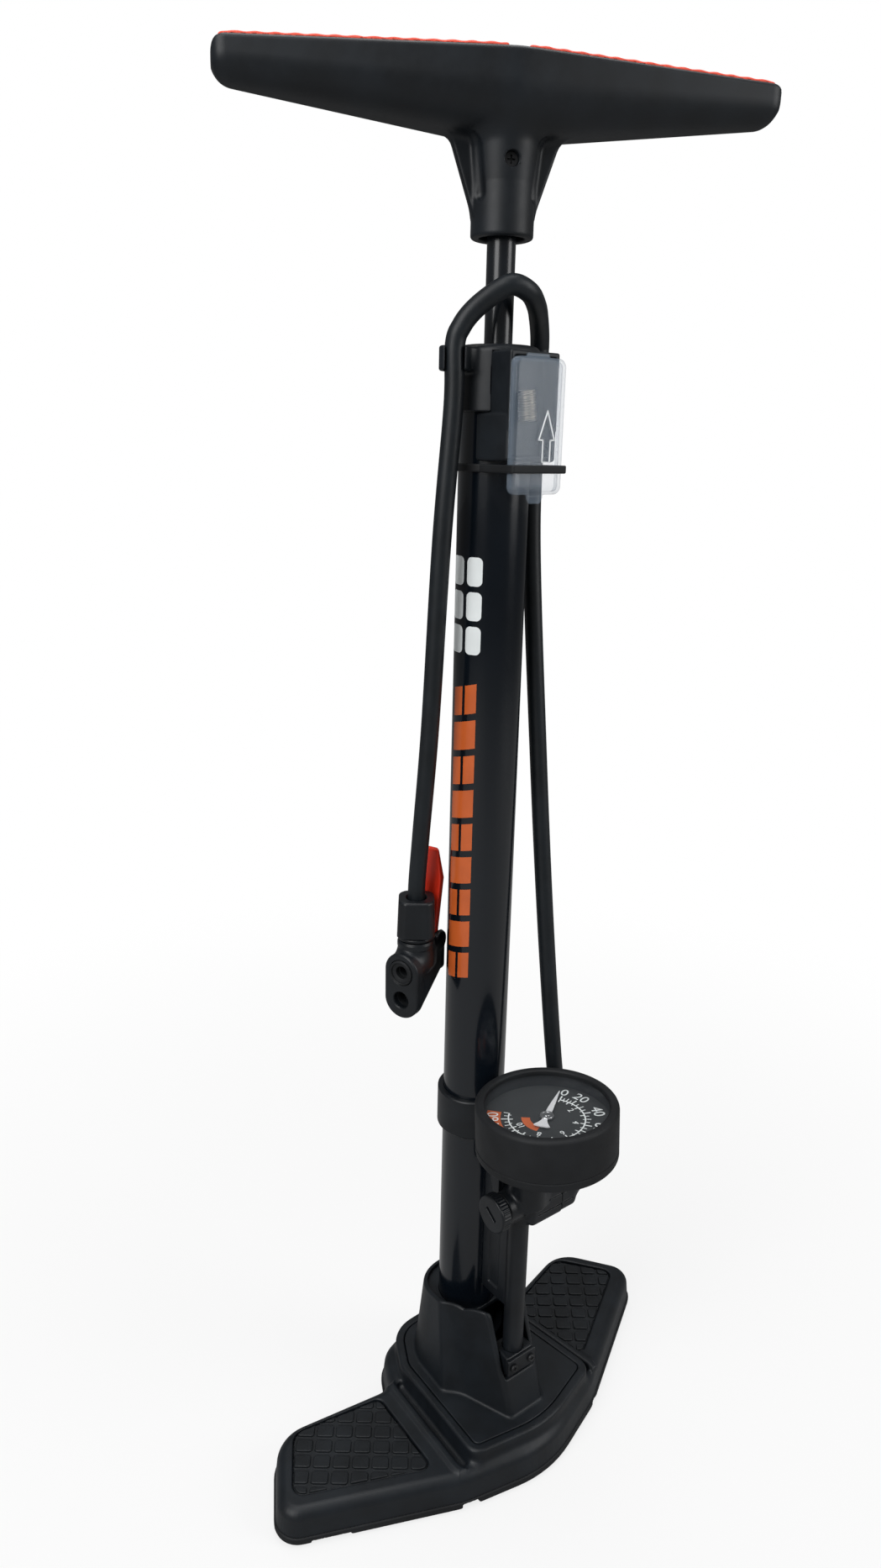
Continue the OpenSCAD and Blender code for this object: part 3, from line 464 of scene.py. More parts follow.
def gradient(func, p, h):
    slope = np.zeros_like(p)
    for axis in range(3):
        d = np.zeros(3)
        d[axis] = h
        slope[:, axis] = func(*(p + d).T) - func(*(p - d).T)
    size = np.linalg.norm(slope, axis=1)
    return slope / maximum(size, 1e-9)[:, None]


def moulding(node, material, body="pump", step=0.5, place=None, box=None, name=None):
    """Makes the piece whose distance function stands below, and takes its name from the function.

    It is looked for in the CAD node's own box unless box is given; place maps it to the part's own frame.
    """
    def build(func):
        low, high = box or node_box(node)
        verts, quads, normals = surface_net(func, low, high, step * FINE)
        if place is not None:
            tip = place(verts + normals)
            verts = place(verts)
            normals = tip - verts
        obj = add_mesh(name or func.__name__, verts, quads, material, body, normals=normals)
        if node:
            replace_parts(obj, node)
        return obj
    return build


def placed(origin, u, v, w):
    """Maps points given along three axes at an origin to the part's own frame."""
    return lambda p: np.asarray(origin) + np.asarray(p, float) @ np.array([u, v, w], float)


def along(origin, direction, side=(0, 1, 0.2)):
    """A frame whose third axis runs along a direction."""
    w = unit(direction)
    u = unit(np.cross(side, w))
    return placed(origin, u, np.cross(w, u), w)


def spun(angle, x=0, y=0):
    """A frame turned about the vertical."""
    c, s = cos(angle), sin(angle)
    return placed((x, y, 0), (c, s, 0), (-s, c, 0), (0, 0, 1))


# ---- outlines shared with the CAD

def both_halves(points, radii):
    """An outline given from its centre point round the right side, completed by its mirror image."""
    p = list(points) + [[-q[0], q[1]] for q in points[:0:-1]]
    return rounded(p, list(radii) + list(radii[:0:-1]))


def mirror_x(p):
    return np.asarray(p)[::-1] * [-1, 1]


BASE_TURN = radians(3.5)
WING_SHIFT = np.array([-4.0, 0.0])     # the wings' centre from the barrel's axis


BASE_OUTLINE = both_halves([[0, -75], [49, -61], [137, -17], [109, 27], [44, 13], [30, 37]],
                           [70, 60, 13, 22, 8, 20])
CENTRE_OUTLINE = rounded([[40, -53], [34, 10], [22, 31], [-22, 31], [-34, 10], [-40, -53], [0, -63]],
                         [4, 12, 16, 16, 12, 4, 60])
TREAD_OUTLINE = rounded([[57, -44], [122, -11], [101, 20], [52, 8]], [4, 6, 9, 5])

base_line, right_pad, left_pad = (Outline(np.stack(turned(*np.asarray(p).T, BASE_TURN), 1) + WING_SHIFT)
                                  for p in (BASE_OUTLINE, TREAD_OUTLINE, mirror_x(TREAD_OUTLINE)))
centre_line = Outline(np.stack(turned(*CENTRE_OUTLINE.T, BASE_TURN), 1), pad=40)


def round_top(d, z, top, r):
    """Cuts a prism off at a height and rounds its upper edge."""
    return meet(d, z - top, r)


def bore(x, y, radius):
    """A round hole that clears a tube of that radius."""
    return hypot(x, y) - radius - 0.06


# ---- base

PAD_DEPTH = 2.2


@moulding("base_body", BLACK, step=0.75)
def base_shell(x, y, z):
    outer = base_line(x, y)
    wall = round_top(outer + 0.8 + 0.10 * (z - UNDER_Z), z, RIM_Z, 5.0)
    centre = centre_line(x, y)
    block = round_top(centre - 5.0 + 0.04 * (z - RIM_Z), z, PLATE_Z, 1.7)
    d = smin(wall, block, 3.0)
    bx, by = turned(x, y, -BASE_TURN)
    side = maximum(-abs(bx) + 33, maximum(by - 9, -53 - by))
    channel = smax(abs(centre - 7.6) - 2.5, side, 3.0)
    d = cut(d, smax(channel, RIM_Z - 2.8 - z, 2.0), 1.6)
    rib = d_extrude(maximum(abs(centre - 12.2) - 1.9, side - 2), z, RIM_Z - 3, RIM_Z + 0.7, 1.3)
    d = smin(d, rib, 2.0)
    d = cut(d, maximum(centre, PLATE_Z - 4 - z), 0.8)
    pads = minimum(right_pad(x, y), left_pad(x, y))
    d = cut(d, maximum(pads, RIM_Z - PAD_DEPTH - z), 0.8)
    d = cut(d, maximum(outer + 6, z - 14))
    d = cut(d, maximum(centre + 2, z - PLATE_Z))
    return maximum(d, UNDER_Z - z)


@moulding("base_underplate", RUBBER, step=0.7)
def base_underplate_moulded(x, y, z):
    d = d_extrude(base_line(x, y), z, 2.0, UNDER_Z - 0.05, 0.9)
    x, y = turned(x, y, -BASE_TURN)
    notch = d_box(abs(x), y, z, (45, -70, 0), (54, -58, UNDER_Z - 1.2), 0.6)
    step = d_box(x, y, z, (-124, -40, 0), (-106, -20, 3.4), 0.4)
    return cut(cut(d, notch, 0.8), step, 0.5)


TILE_TURN = radians(-37.5)
TILE_STEP = (10.15, 9.1)


def tread_shape(pad, origin):
    def shape(x, y, z):
        u, v = turned(x - origin[0], y - origin[1], -TILE_TURN)
        u = np.mod(u, TILE_STEP[0]) - TILE_STEP[0] / 2 + 0.65
        v = np.mod(-v, TILE_STEP[1]) - TILE_STEP[1] / 2 - 0.6
        lean = np.clip(v / TILE_STEP[1] + 0.5, 0, 1)
        corner = d_rect(u, v, 4.3, 3.75, 1.5)
        edge = pad(x, y) + 0.55
        tile = maximum(corner, edge + 0.5)
        top = RIM_Z - 0.75 + 0.75 * lean
        tile = round_top(tile, z, top, 0.35)
        floor = maximum(edge, z - (RIM_Z - 1.35))
        low = RIM_Z - PAD_DEPTH + 0.1 - z
        return maximum(smin(tile, floor, 0.25), low)
    return shape


for word, pad, origin in (("left", left_pad, (-102.9, -2.9)), ("right", right_pad, (65.6, 10.7))):
    moulding(word + "_tread", TREAD, step=0.42, name="tread_" + word)(tread_shape(pad, origin))


# ---- tower

SLANT = radians(20)


def mix(a, b, t):
    return a + (b - a) * t


def tower_outer(x, y, z, shrink=0.0):
    t = (z - PLATE_Z) / (TOWER_Z - PLATE_Z)
    back = mix(29.0, 23.5, t) - shrink
    ax = abs(x)
    fx, fy = mix(30.0, 24.5, t) - shrink, mix(-18.0, -4.0, t) - shrink * 0.6
    mx, my = mix(22.5, 23.9, t) - shrink, mix(-25.5, -6.0, t) - shrink * 0.3
    nx, ny = mix(11.5, 12.6, t) - shrink * 0.5, mix(-54.0, -34.0, t) + shrink
    turn = np.arctan2(fy, fx) + np.arccos(minimum(back / hypot(fx, fy), 1))
    c, s = np.cos(turn), np.sin(turn)
    round_back = np.where(y * c - ax * s > 0, hypot(x, y) - back, ax * c + y * s - back)
    flare = ((ax - mx) - (y - my)) * sqrt(0.5)
    ex, ey = mx - nx, my - ny
    size = hypot(ex, ey)
    facet = ((ax - nx) * ey - (y - ny) * ex) / size
    sides = smax(round_back, smin(flare, facet, 2.0), 1.6)
    return smax(sides, ny - y, 2.6)


@moulding("barrel_socket", BLACK, step=0.62, box=((-41, -64, PLATE_Z - 5), (41, 32, TOWER_Z)))
def socket_tower(x, y, z):
    d = tower_outer(x, y, z)
    rise = z + 0.2 * y - (TOWER_Z - 8)          # height above the rim, which slopes down to the back
    d = round_top(d, rise, 0, 1.0)
    d = maximum(d, PLATE_Z - 2 - z)
    front, below = turned(y + 46, z - 47, SLANT)
    open_front = smax(front, -below, 7.0)
    open_front = smin(open_front, 0.35 * abs(y + 20) - 1.5 - rise, 9.0)
    d = cut(d, np.where(y < -10, open_front, 9.0), 1.2)
    notch = d_box(x, y, z, (-10, -70, 47), (10, -16.5, 120), 1.5)
    d = cut(d, notch, 1.0)
    plate = round_top(centre_line(x, y) + 0.35, z, PLATE_Z, 0.45)
    d = smin(d, plate, 1.4)
    inner = maximum(tower_outer(x, y, z, 3.0), z - 66)
    d = cut(d, inner, 1.0)
    d = cut(d, maximum(tower_outer(x, y, z, 2.3), TOWER_Z - 15 - z), 0.6)
    d = cut(d, bore(x, y, BARREL_R))
    block = d_box(x, y, z, (-9.05, -44.05, 0), (9.05, -24, 60.05))
    d = cut(d, block)
    return maximum(d, PLATE_Z - 5 - z)


CLAMP_Y = STEM_Y - 6.4


@moulding("foot_block", BLACK_FINE)
def tube_block(x, y, z):
    d = d_box(x, y, z, (-9, STEM_Y - 4, UNDER_Z), (9, STEM_Y + 7.5, 60), 1.0)
    d = minimum(d, d_box(x, y, z, (-9, CLAMP_Y, 49.2), (9, STEM_Y + 7.5, 60), 1.0))
    seat = d_cyl(x, y, z, 21.0, UNDER_Z, 50, 0.8)
    bridge = d_box(x, y, z, (-9, STEM_Y - 4, UNDER_Z), (9, -12, 32), 0.8)
    d = smin(smin(d, seat, 1.0), bridge, 1.0)
    d = cut(d, maximum(bore(x, y - STEM_Y, STEM_R), 48 - z))
    d = cut(d, maximum(bore(x, y, BARREL_R), 32 - z))
    screws = maximum(hypot(abs(x) - 6, z - 54.5) - 1.2, y - (CLAMP_Y + 4))
    return cut(d, screws)


@moulding("stem_clamp", BLACK_FINE, step=0.3)
def tube_clamp(x, y, z):
    d = d_box(x, y, z, (-9.6, CLAMP_Y - 1.8, 49.5), (9.6, CLAMP_Y - 0.05, 59.5), 0.6)
    holes = hypot(abs(x) - 6, z - 54.5) - 1.25
    return cut(d, holes)


# ---- barrel and its stripes

def tube_profile(r_out, r_in, low, high, edge):
    return [(r_in, low + edge), (r_in + edge, low), (r_out - edge, low), (r_out, low + edge),
            (r_out, high - edge), (r_out - edge, high), (r_in + edge, high), (r_in, high - edge)]


lathe("barrel_tube", "barrel", tube_profile(BARREL_R, BARREL_R - 1.5, BARREL[0][2], BARREL[1][2], 0.4),
      PAINT, segments=160)

PRINT_SIDE = radians(-172)              # bearing of the middle of the prints


def patch(name, outline, material, steps=10):
    """A thin print wrapped on the barrel. The outline is (arc length, height) about the print's bearing."""
    p = np.asarray(outline, float)
    first, last = p[:, 1].min(), p[:, 1].max()
    rings = []
    for h in np.unique(np.concatenate([p[:, 1], np.linspace(first, last, 60)])):
        level = min(max(h, first + 1e-4), last - 1e-4)
        cuts = [a[0] + (level - a[1]) * (b[0] - a[0]) / (b[1] - a[1])
                for a, b in zip(p, np.roll(p, -1, axis=0)) if (a[1] > level) != (b[1] > level)]
        bearings = PRINT_SIDE + np.linspace(min(cuts), max(cuts), steps + 1) / BARREL_R
        rings.append([(*polar(r, a), h) for r, turns in
                      ((BARREL_R + 0.07, bearings), (BARREL_R + 0.02, bearings[::-1])) for a in turns])
    return loft(name, rings, material)


# a ladder of slanted warm bars low on the barrel, every other rung split in two
STRIPE_LOW, STRIPE_STEP, STRIPE_TALL, STRIPE_HALF, STRIPE_LEAN = 268.0, 16.9, 13.6, 7.0, 3.5
for i in range(9):
    spans = [(-STRIPE_HALF, STRIPE_HALF)] if i % 2 else [(-STRIPE_HALF, -0.6), (1.0, STRIPE_HALF)]
    for k, span in enumerate(spans):
        low = [(s, STRIPE_LOW + STRIPE_STEP * i + STRIPE_LEAN * (s / STRIPE_HALF + 1) / 2) for s in span]
        patch("stripe_%d_%d" % (i, k), low + [(s, z + STRIPE_TALL) for s, z in low[::-1]], ORANGE_PRINT)
# two columns of pale rounded blocks above them
for i in range(3):
    for k, (s0, s1) in enumerate([(-11.5, -1.6), (0.4, 8.2)]):
        z = 433.5 + 15.4 * i
        corners = [(s0, z), (s1, z), (s1, z + 12.8), (s0, z + 12.8)]
        patch("block_%d_%d" % (i, k), rounded(corners, [2.4] * 4, 5), WHITE_PRINT)


# ---- air tube, bracket and manifold

lathe("air_tube", "stem_tube", tube_profile(STEM_R, 3.5, 48.05, MAN_Z - 1.0, 0.3), BLACK_FINE,
      place=lambda v: v + [0, STEM_Y, 0], segments=80)

FOOT_Y = STEM_Y + 9.8


@moulding("gauge_bracket", BLACK_FINE)
def gauge_bracket_moulded(x, y, z):
    band = d_cyl(x, y, z, 19.0, 179.6, 201.6, 1.2)
    web = d_box(x, y, z, (-3, STEM_Y + STEM_R - 1, 84), (3, STEM_Y + STEM_R + 19, 144), 0.9)
    # the upper web block fills the space under the gauge where only the strut's shadow falls: a black block
    # put there as painted shade
    web = minimum(web, d_box(x, y, z, (-3, STEM_Y + 9.5, 140), (3, STEM_Y + 24.5, 176), 0.8))
    web = cut(web, d_box(abs(x), y, z, (2.1, -29, 90), (5, -21, 132), 0.8), 0.5)
    ax = abs(x)
    strut = minimum(
        d_capsule(ax, y, z, (5, -18.5, 182), (4.6, FOOT_Y, 135.4), 1.4),
        d_capsule(ax, y, z, (5, -18.5, 195.2), (4.6, FOOT_Y, 162.6), 1.4))
    # the strut is a flat rib between its two edges
    low_y = mix(FOOT_Y, -18.5, (z - 135.4) / 46.6)
    high_y = mix(FOOT_Y, -18.5, maximum(z - 162.6, 0) / 32.6)
    rib = maximum(maximum(abs(ax - 4.8) - 1.3, (y - low_y) * 0.95), (high_y - y) * 0.95)
    rib = maximum(rib, maximum(134.6 - z, z - 196))
    foot = d_box(x, y, z, (-6, STEM_Y + 7.5, 134), (6, STEM_Y + 11, 144), 0.8)
    d = smin(smin(band, smin(minimum(strut, rib), foot, 1.6), 1.6), web, 1.6)
    d = cut(d, bore(x, y, BARREL_R))
    return cut(d, bore(x, y - STEM_Y, STEM_R))


def grooved(d, x, dy, dz, start, end):
    """Two grooves along the front of the manifold's block."""
    for low in (-5.6, 0.6):
        d = cut(d, d_box(x, dy, dz, (start, -13, low), (end, -9.2, low + 0.9), 0.3), 0.5)
    return d


@moulding("manifold", BLACK_FINE, step=0.4)
def manifold_moulded(x, y, z):
    dy, dz = y - MAN_Y, z - MAN_Z
    arm = d_cyl(dy, dz, x, 8.0, -15, 12, 0.8)
    rib = maximum(abs(hypot(dy, dz) - 8.2) - 0.45, abs(np.arctan2(dz, dy) + 2.3) * 8 - 0.9)
    box = smax(d_box(x, dy, dz, (-3, -10, -11.5), (24, 8.5, 8.5), 3.0), x - 18, 0.8)
    box = grooved(box, x, dy, dz, 1.5, 24)
    socket = d_cyl(x, y - STEM_Y, z, 9.0, MAN_Z - 12, MAN_Z + 2, 1.0)
    boss = d_cyl(x, y - BOSS_Y, z, 10.0, MAN_Z, MAN_Z + 22, 1.0)
    d = smin(smin(arm, box, 2.0), smin(socket, boss, 1.5), 2.4)
    d = smin(d, maximum(rib, abs(x + 7) - 6.5), 0.8)
    d = cut(d, maximum(hypot(dy, dz) - 5.5, x + 9))
    d = cut(d, maximum(bore(x, y - STEM_Y, STEM_R), z - MAN_Z))
    return cut(d, maximum(hypot(x, y - BOSS_Y) - 5.06, MAN_Z + 14 - z))


@moulding("manifold_plug", BLACK_FINE, step=0.32)
def manifold_plug_moulded(x, y, z):
    dy, dz = y - MAN_Y, z - MAN_Z
    angle = np.arctan2(dz, dy)
    rim = np.where(abs(x + 18.6) < 2.0, 9.6 + 0.14 * np.cos(angle * 36), 9.6)
    d = d_extrude(hypot(dy, dz) - rim, x, -22, -16, 0.8)
    d = minimum(d, d_cyl(dy, dz, x, 5.45, -22, -10, 0.4))
    slot = d_box(*turned(dy, dz, radians(55)), x, (-0.95, -4.1, -24), (0.95, 4.1, -20), 0.4)
    return cut(d, slot, 0.5)


ELBOW_X = 28.5
TILT = radians(14)
ELBOW_DIR = np.array([cos(TILT) * sin(TILT), sin(TILT), cos(TILT) ** 2])
ELBOW = np.array([ELBOW_X, MAN_Y, MAN_Z])


@moulding("hose_elbow", BLACK_FINE, step=0.4)
def elbow_moulded(x, y, z):
    dx, dy, dz = x - ELBOW_X, y - MAN_Y, z - MAN_Z
    arm = smax(d_box(x, dy, dz, (10, -10, -11.5), (30, 8.5, 8.5), 4.0), 18.05 - x, 0.5)
    arm = grooved(arm, x, dy, dz, 10, 26)
    away = dx ** 2 + dy ** 2 + dz ** 2
    ball = maximum(np.sqrt(away) - 10.1, 18.6 - x)
    rise = dx * ELBOW_DIR[0] + dy * ELBOW_DIR[1] + dz * ELBOW_DIR[2]
    spout = d_extrude(np.sqrt(maximum(away - rise ** 2, 0)) - 6.2, rise, 0, 13, 0.6)
    return smin(smin(arm, ball, 2.5), spout, 3.0)


# ---- hose

HOSE_R = 4.25
hose_start = ELBOW + 13.6 * ELBOW_DIR
CLIP_Y = (-4.4, 3.3)                   # hose axis in the left clip and in the right one
HOSE_POINTS = [
    hose_start, hose_start + 9 * ELBOW_DIR, hose_start + 11.5 * ELBOW_DIR, (32.8, -30.6, 199),
    (32.6, -25.2, 222), (30.5, -15.7, 298), (28.5, -7, 381), (26.5, 2.5, 484), (27, CLIP_Y[1], 540),
    (27, CLIP_Y[1], 563), (26.8, 3, 567), (23.4, -0.4, 572), (17.2, -6.2, 577), (10, -12.5, 581),
    (1.5, -17.4, 585), (-6.5, -16.7, 587.4), (-12.2, -13.4, 584.8), (-20, -8.9, 578), (-25, -6.1, 571),
    (-27, CLIP_Y[0], 563), (-27, CLIP_Y[0], 540), (-29.9, -1.9, 484), (-30, 4, 400), (-30.2, 9.6, 345),
    (CHUCK_X, CHUCK_Y, 316), (CHUCK_X, CHUCK_Y, NUT_Z + 2)]
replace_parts(sweep("hose_line", spline(HOSE_POINTS, 14), HOSE_R, HOSE, sides=32), "hose")

ferrule = [(4.4, 13.05), (5.7, 13.05), (6.2, 13.5)]
for z in (15.0, 17.2, 19.4):
    ferrule += [(6.2, z - 0.6), (5.8, z - 0.3), (5.8, z + 0.3), (6.2, z + 0.6)]
ferrule += [(6.2, 21.2), (5.6, 22.05), (4.9, 22.05), (4.4, 21.6)]
lathe("ferrule_moulded", "hose_ferrule", ferrule, BLACK_FINE, place=along(ELBOW, ELBOW_DIR), segments=64)


# ---- gauge

at_gauge = along((0, GAUGE_Y, GAUGE_Z), (0, sin(GAUGE_TILT), cos(GAUGE_TILT)), (0, 1, 0))


def arc(cx, cz, r, a0, a1, n=6):
    return [(cx + u, cz + v) for u, v in (polar(r, a) for a in np.radians(np.linspace(a0, a1, n + 1)))]


GLASS_R, LIP = 30.5, 2.5
CASE_R = BOOT_R - 2.6
boot = [(0, -BOOT_H + 1.9), (0, -BOOT_H)]
boot += arc(BOOT_R - 2.2, -BOOT_H + 2.2, 2.2, -90, 0)
boot += [(BOOT_R, -BOOT_H + 4.6), (BOOT_R - 0.4, -BOOT_H + 4.9), (BOOT_R - 0.4, -BOOT_H + 5.2),
         (BOOT_R, -BOOT_H + 5.5)]
boot += arc(BOOT_R - 2.0, -2.0, 2.0, 0, 90) + arc(GLASS_R + 1.0, -1.0, 1.0, 90, 180)
boot += [(GLASS_R, -LIP), (CASE_R + 0.04, -LIP), (CASE_R + 0.04, -BOOT_H + 1.9)]
lathe("gauge_boot_moulded", "gauge_boot", boot, RUBBER, place=at_gauge, segments=160, sharp=30)

lens = [(0, -LIP - 2), (CASE_R - 1.8, -LIP - 2), (CASE_R - 1.35, -LIP - 1.6), (CASE_R - 1.35, -LIP - 0.9),
        (CASE_R - 2.0, -LIP - 0.35), (20, -LIP - 0.25), (0, -LIP - 0.2)]
lathe("gauge_lens_clear", "gauge_lens", lens, LENS, place=at_gauge, segments=128)

DIAL_W = -9.0
ZERO = 32.0
PRINT = 0.06


def from_bmesh(work):
    """Points and faces of a bmesh, which is then freed."""
    work.verts.index_update()
    verts = np.array([v.co for v in work.verts])
    faces = [[v.index for v in f.verts] for f in work.faces]
    work.free()
    return verts, faces


def prism(name, outline, low, high, material, body, place, bevel=0.0):
    """An extruded anticlockwise outline, with the upper edge drawn in by a small bevel."""
    work = bmesh.new()
    bottom, top = ([work.verts.new((*q, z)) for q in outline] for z in (low, high))
    work.faces.new(bottom[::-1])
    work.faces.new(top)
    for k in range(len(top)):
        m = (k + 1) % len(top)
        work.faces.new((bottom[k], bottom[m], top[m], top[k]))
    if bevel:
        edges = [e for e in work.edges if all(abs(v.co.z - high) < 1e-6 for v in e.verts)]
        bmesh.ops.bevel(work, geom=edges, offset=bevel, segments=2, affect="EDGES")
    bmesh.ops.triangulate(work, faces=[f for f in work.faces if len(f.verts) > 4])
    verts, faces = from_bmesh(work)
    return add_mesh(name, place(verts), faces, material, body, sharp=35)


def band(r0, r1, a0, a1, n=2, high=DIAL_W + PRINT):
    """A printed strip of an annulus on the dial, between two bearings."""
    rings = []
    for a in np.radians(np.linspace(a0, a1, n + 1)):
        section = ((r0, high), (r1, high), (r1, DIAL_W), (r0, DIAL_W))
        rings.append(at_gauge([(*polar(r, a), z) for r, z in section]))
    return loft("mark", rings, WHITE_PRINT)


def psi_angle(psi):
    """Bearing of a pressure on the dial; the scale is closed up below 20."""
    return 6.0 - (psi - 20) * (1.6 if psi > 20 else 1.05)


def joined(name, parts, material, body="pump"):
    """Several small printed marks as one piece."""
    verts, faces, total = [], [], 0
    for obj in parts:
        mesh = obj.data
        verts += [np.array(v.co) / MM for v in mesh.vertices]
        faces += [[v + total for v in f.vertices] for f in mesh.polygons]
        total += len(mesh.vertices)
        bpy.data.objects.remove(obj)
    return add_mesh(name, np.array(verts), faces, material, body, sharp=35)


def digits(text, size, radius, bearing, stretch, low=DIAL_W, high=DIAL_W + PRINT):
    """Numbers from the built-in typeface, standing upright along the bearing."""
    curve = bpy.data.curves.new("digits", "FONT")
    curve.body, curve.size = text, size
    curve.align_x = curve.align_y = "CENTER"
    curve.extrude = (high - low) / 2
    holder = new_object("digits", curve)
    bpy.context.view_layer.update()
    graph = bpy.context.evaluated_depsgraph_get()
    mesh = bpy.data.meshes.new_from_object(holder.evaluated_get(graph))
    work = bmesh.new()
    work.from_mesh(mesh)
    bmesh.ops.remove_doubles(work, verts=work.verts, dist=1e-5)
    verts, faces = from_bmesh(work)
    bpy.data.objects.remove(holder)
    x, y = turned(verts[:, 0] * stretch, verts[:, 1] + radius, radians(bearing - 90))
    out = np.stack([x, y, verts[:, 2] + (low + high) / 2], 1)
    return add_mesh("digit", at_gauge(out), faces, WHITE_PRINT, sharp=35)


marks = [band(18.4, 19.1, psi_angle(170), psi_angle(0), 90)]
for psi in range(0, 171, 5):
    a = psi_angle(psi)
    wide, far = (1.0, 22.4) if psi % 20 == 0 else (0.65, 21.6)
    if psi % 10 and psi % 20:
        far = 20.9
    marks.append(band(19.2, far, a - wide, a + wide))
for bar in np.arange(0, 11.6, 0.5):
    a = psi_angle(bar * 14.5)
    wide, near = (1.0, 16.6) if bar % 1 == 0 else (0.65, 17.5)
    marks.append(band(near, 18.6, a - wide, a + wide))
for psi in range(0, 141, 20):
    marks.append(digits(str(psi), 8.0, 25.9, psi_angle(psi), 1.05))
for bar in (2, 4, 6, 8, 10):
    marks.append(digits(str(bar), 4.6, 14.2, psi_angle(bar * 14.5), 1.0))
joined("dial_marks", marks, WHITE_PRINT)
joined("dial_warm_zones", [band(22.7, 29.8, 126, 176, 16, high=DIAL_W + 0.04),
                           band(8.2, 12.4, 136, 204, 16, high=DIAL_W + 0.04)], ORANGE_PRINT)
end_number = digits("160", 8.0, 26.0, psi_angle(160), 1.05, DIAL_W + 0.05, DIAL_W + 0.10)
joined("dial_end_marks", [end_number], WHITE_PRINT)

edge = [(2.6, 1.5), (7, 1.45), (12, 1.15), (24.2, 0.25), (24.6, 0)]
tail = [(-9.3 - 0.9 * cos(t * pi / 2), -4.1 * sin(t * pi / 2)) for t in (-0.6, -0.3, 0)]
tail = [(-2.5, 1.2), (-4.5, 1.3), (-6.5, 2.1), (-9.3, 4.1)] + tail
needle = [(x, -y) for x, y in edge[:-1]] + edge[::-1] + tail + [(x, -y) for x, y in tail[-2::-1]]
needle = spun(radians(ZERO))([(x, y, 0) for x, y in needle])[:, :2]
prism("needle_blade", needle, DIAL_W + 1.2, DIAL_W + 1.7, SILVER, "needle", place=at_gauge, bevel=0.12)
hub = [(0.8, 0.9), (3.3, 0.9), (3.5, 1.1), (3.5, 1.9), (3.2, 2.2), (2.5, 2.2), (2.3, 2.0), (1.5, 2.0),
       (1.3, 2.25), (0, 2.3)]
hub = [(0, -16.4), (0.8, -16.4)] + [(r, DIAL_W + z) for r, z in hub]
lathe("needle_hub", "gauge_needle", hub, STEEL, "needle", at_gauge, 48)
teeth = []
for i in range(10):
    teeth += [polar(r, radians(36 * i + a)) for a, r in ((-10, 1.55), (-4, 2.3), (4, 2.3), (10, 1.55))]
prism("needle_pinion", teeth, -14.8, -13.4, BRASS, "needle", place=at_gauge)
for i, a in enumerate((58, 238)):
    dot = [np.add(polar(1.9, radians(a)), polar(0.32, t)) for t in np.arange(12) * pi / 6]
    prism("needle_dot_%d" % i, dot, DIAL_W + 1.9, DIAL_W + 2.12, DARK_STEEL, "needle", place=at_gauge)


# ---- cap, hose clips, adapter box, lid and strap

CLIP_Z, CLIP_H = 553.6, 9.8
CAP_LOW, CAP_SEAT = 538.0, 561.05      # the cap's rim and the barrel's top edge inside it


@moulding("barrel_cap", BLACK, step=0.45)
def cap_moulded(x, y, z):
    r = hypot(x, y)
    d = round_top(r - 19.0 + 0.02 * (z - CAP_LOW), z, CAP_TOP, 3.2)
    d = smax(d, CAP_LOW - z, 0.8)
    ax, w = abs(x), y - np.where(x > 0, CLIP_Y[1], CLIP_Y[0])
    arm = d_box(ax, w, z, (14, -3.2, CLIP_Z), (28, 3.8, CLIP_Z + CLIP_H), 1.2)
    grip = d_cyl(ax - 27, w - 0.3, z, 6.3, CLIP_Z, CLIP_Z + CLIP_H, 1.0)
    d = smin(d, smin(arm, grip, 1.5), 2.0)
    seat = hypot(ax - 26.9, w) - (HOSE_R + 0.55)
    mouth_x, mouth_y = turned(ax - 26.9, w, radians(-38))
    mouth = maximum(abs(mouth_x) - 4.1, mouth_y)
    d = cut(d, minimum(seat, mouth), 0.6)
    front = maximum(maximum(ax - 13.65, y + 12.5), z - 562.05)
    d = cut(d, front)
    d = cut(d, maximum(bore(x, y, BARREL_R), z - CAP_SEAT))
    return cut(d, r - 8.0)


BOX_LOW, BOX_HIGH, BOX_HALF = 518.0, 562.0, 13.6


@moulding("adapter_box", BLACK, step=0.45)
def adapter_box_moulded(x, y, z):
    upper = maximum(d_box(x, y, z, (-BOX_HALF, BOX_FRONT, 530), (BOX_HALF, -8, BOX_HIGH), 1.0), y + 12.55)
    cheek = smax((abs(x) - BOX_HALF - 0.1026 * (y - BOX_FRONT)) * 0.995, BOX_FRONT - y, 2.0)
    cheek = smax(smax(cheek, maximum(BOX_LOW - z, z - 537.85), 1.6), y + 5.5, 1.2)
    d = minimum(upper, cheek)
    d = cut(d, bore(x, y, BARREL_R))
    cavity = d_box(x, y, z, (-11.8, BOX_FRONT - 3, BOX_LOW + 2), (11.8, BOX_FRONT + 7.8, BOX_HIGH - 2), 1.4)
    return cut(d, cavity, 0.6)


LID_LOW, LID_HIGH = 504.7, 559.5
LID_Y = BOX_FRONT - 4.2


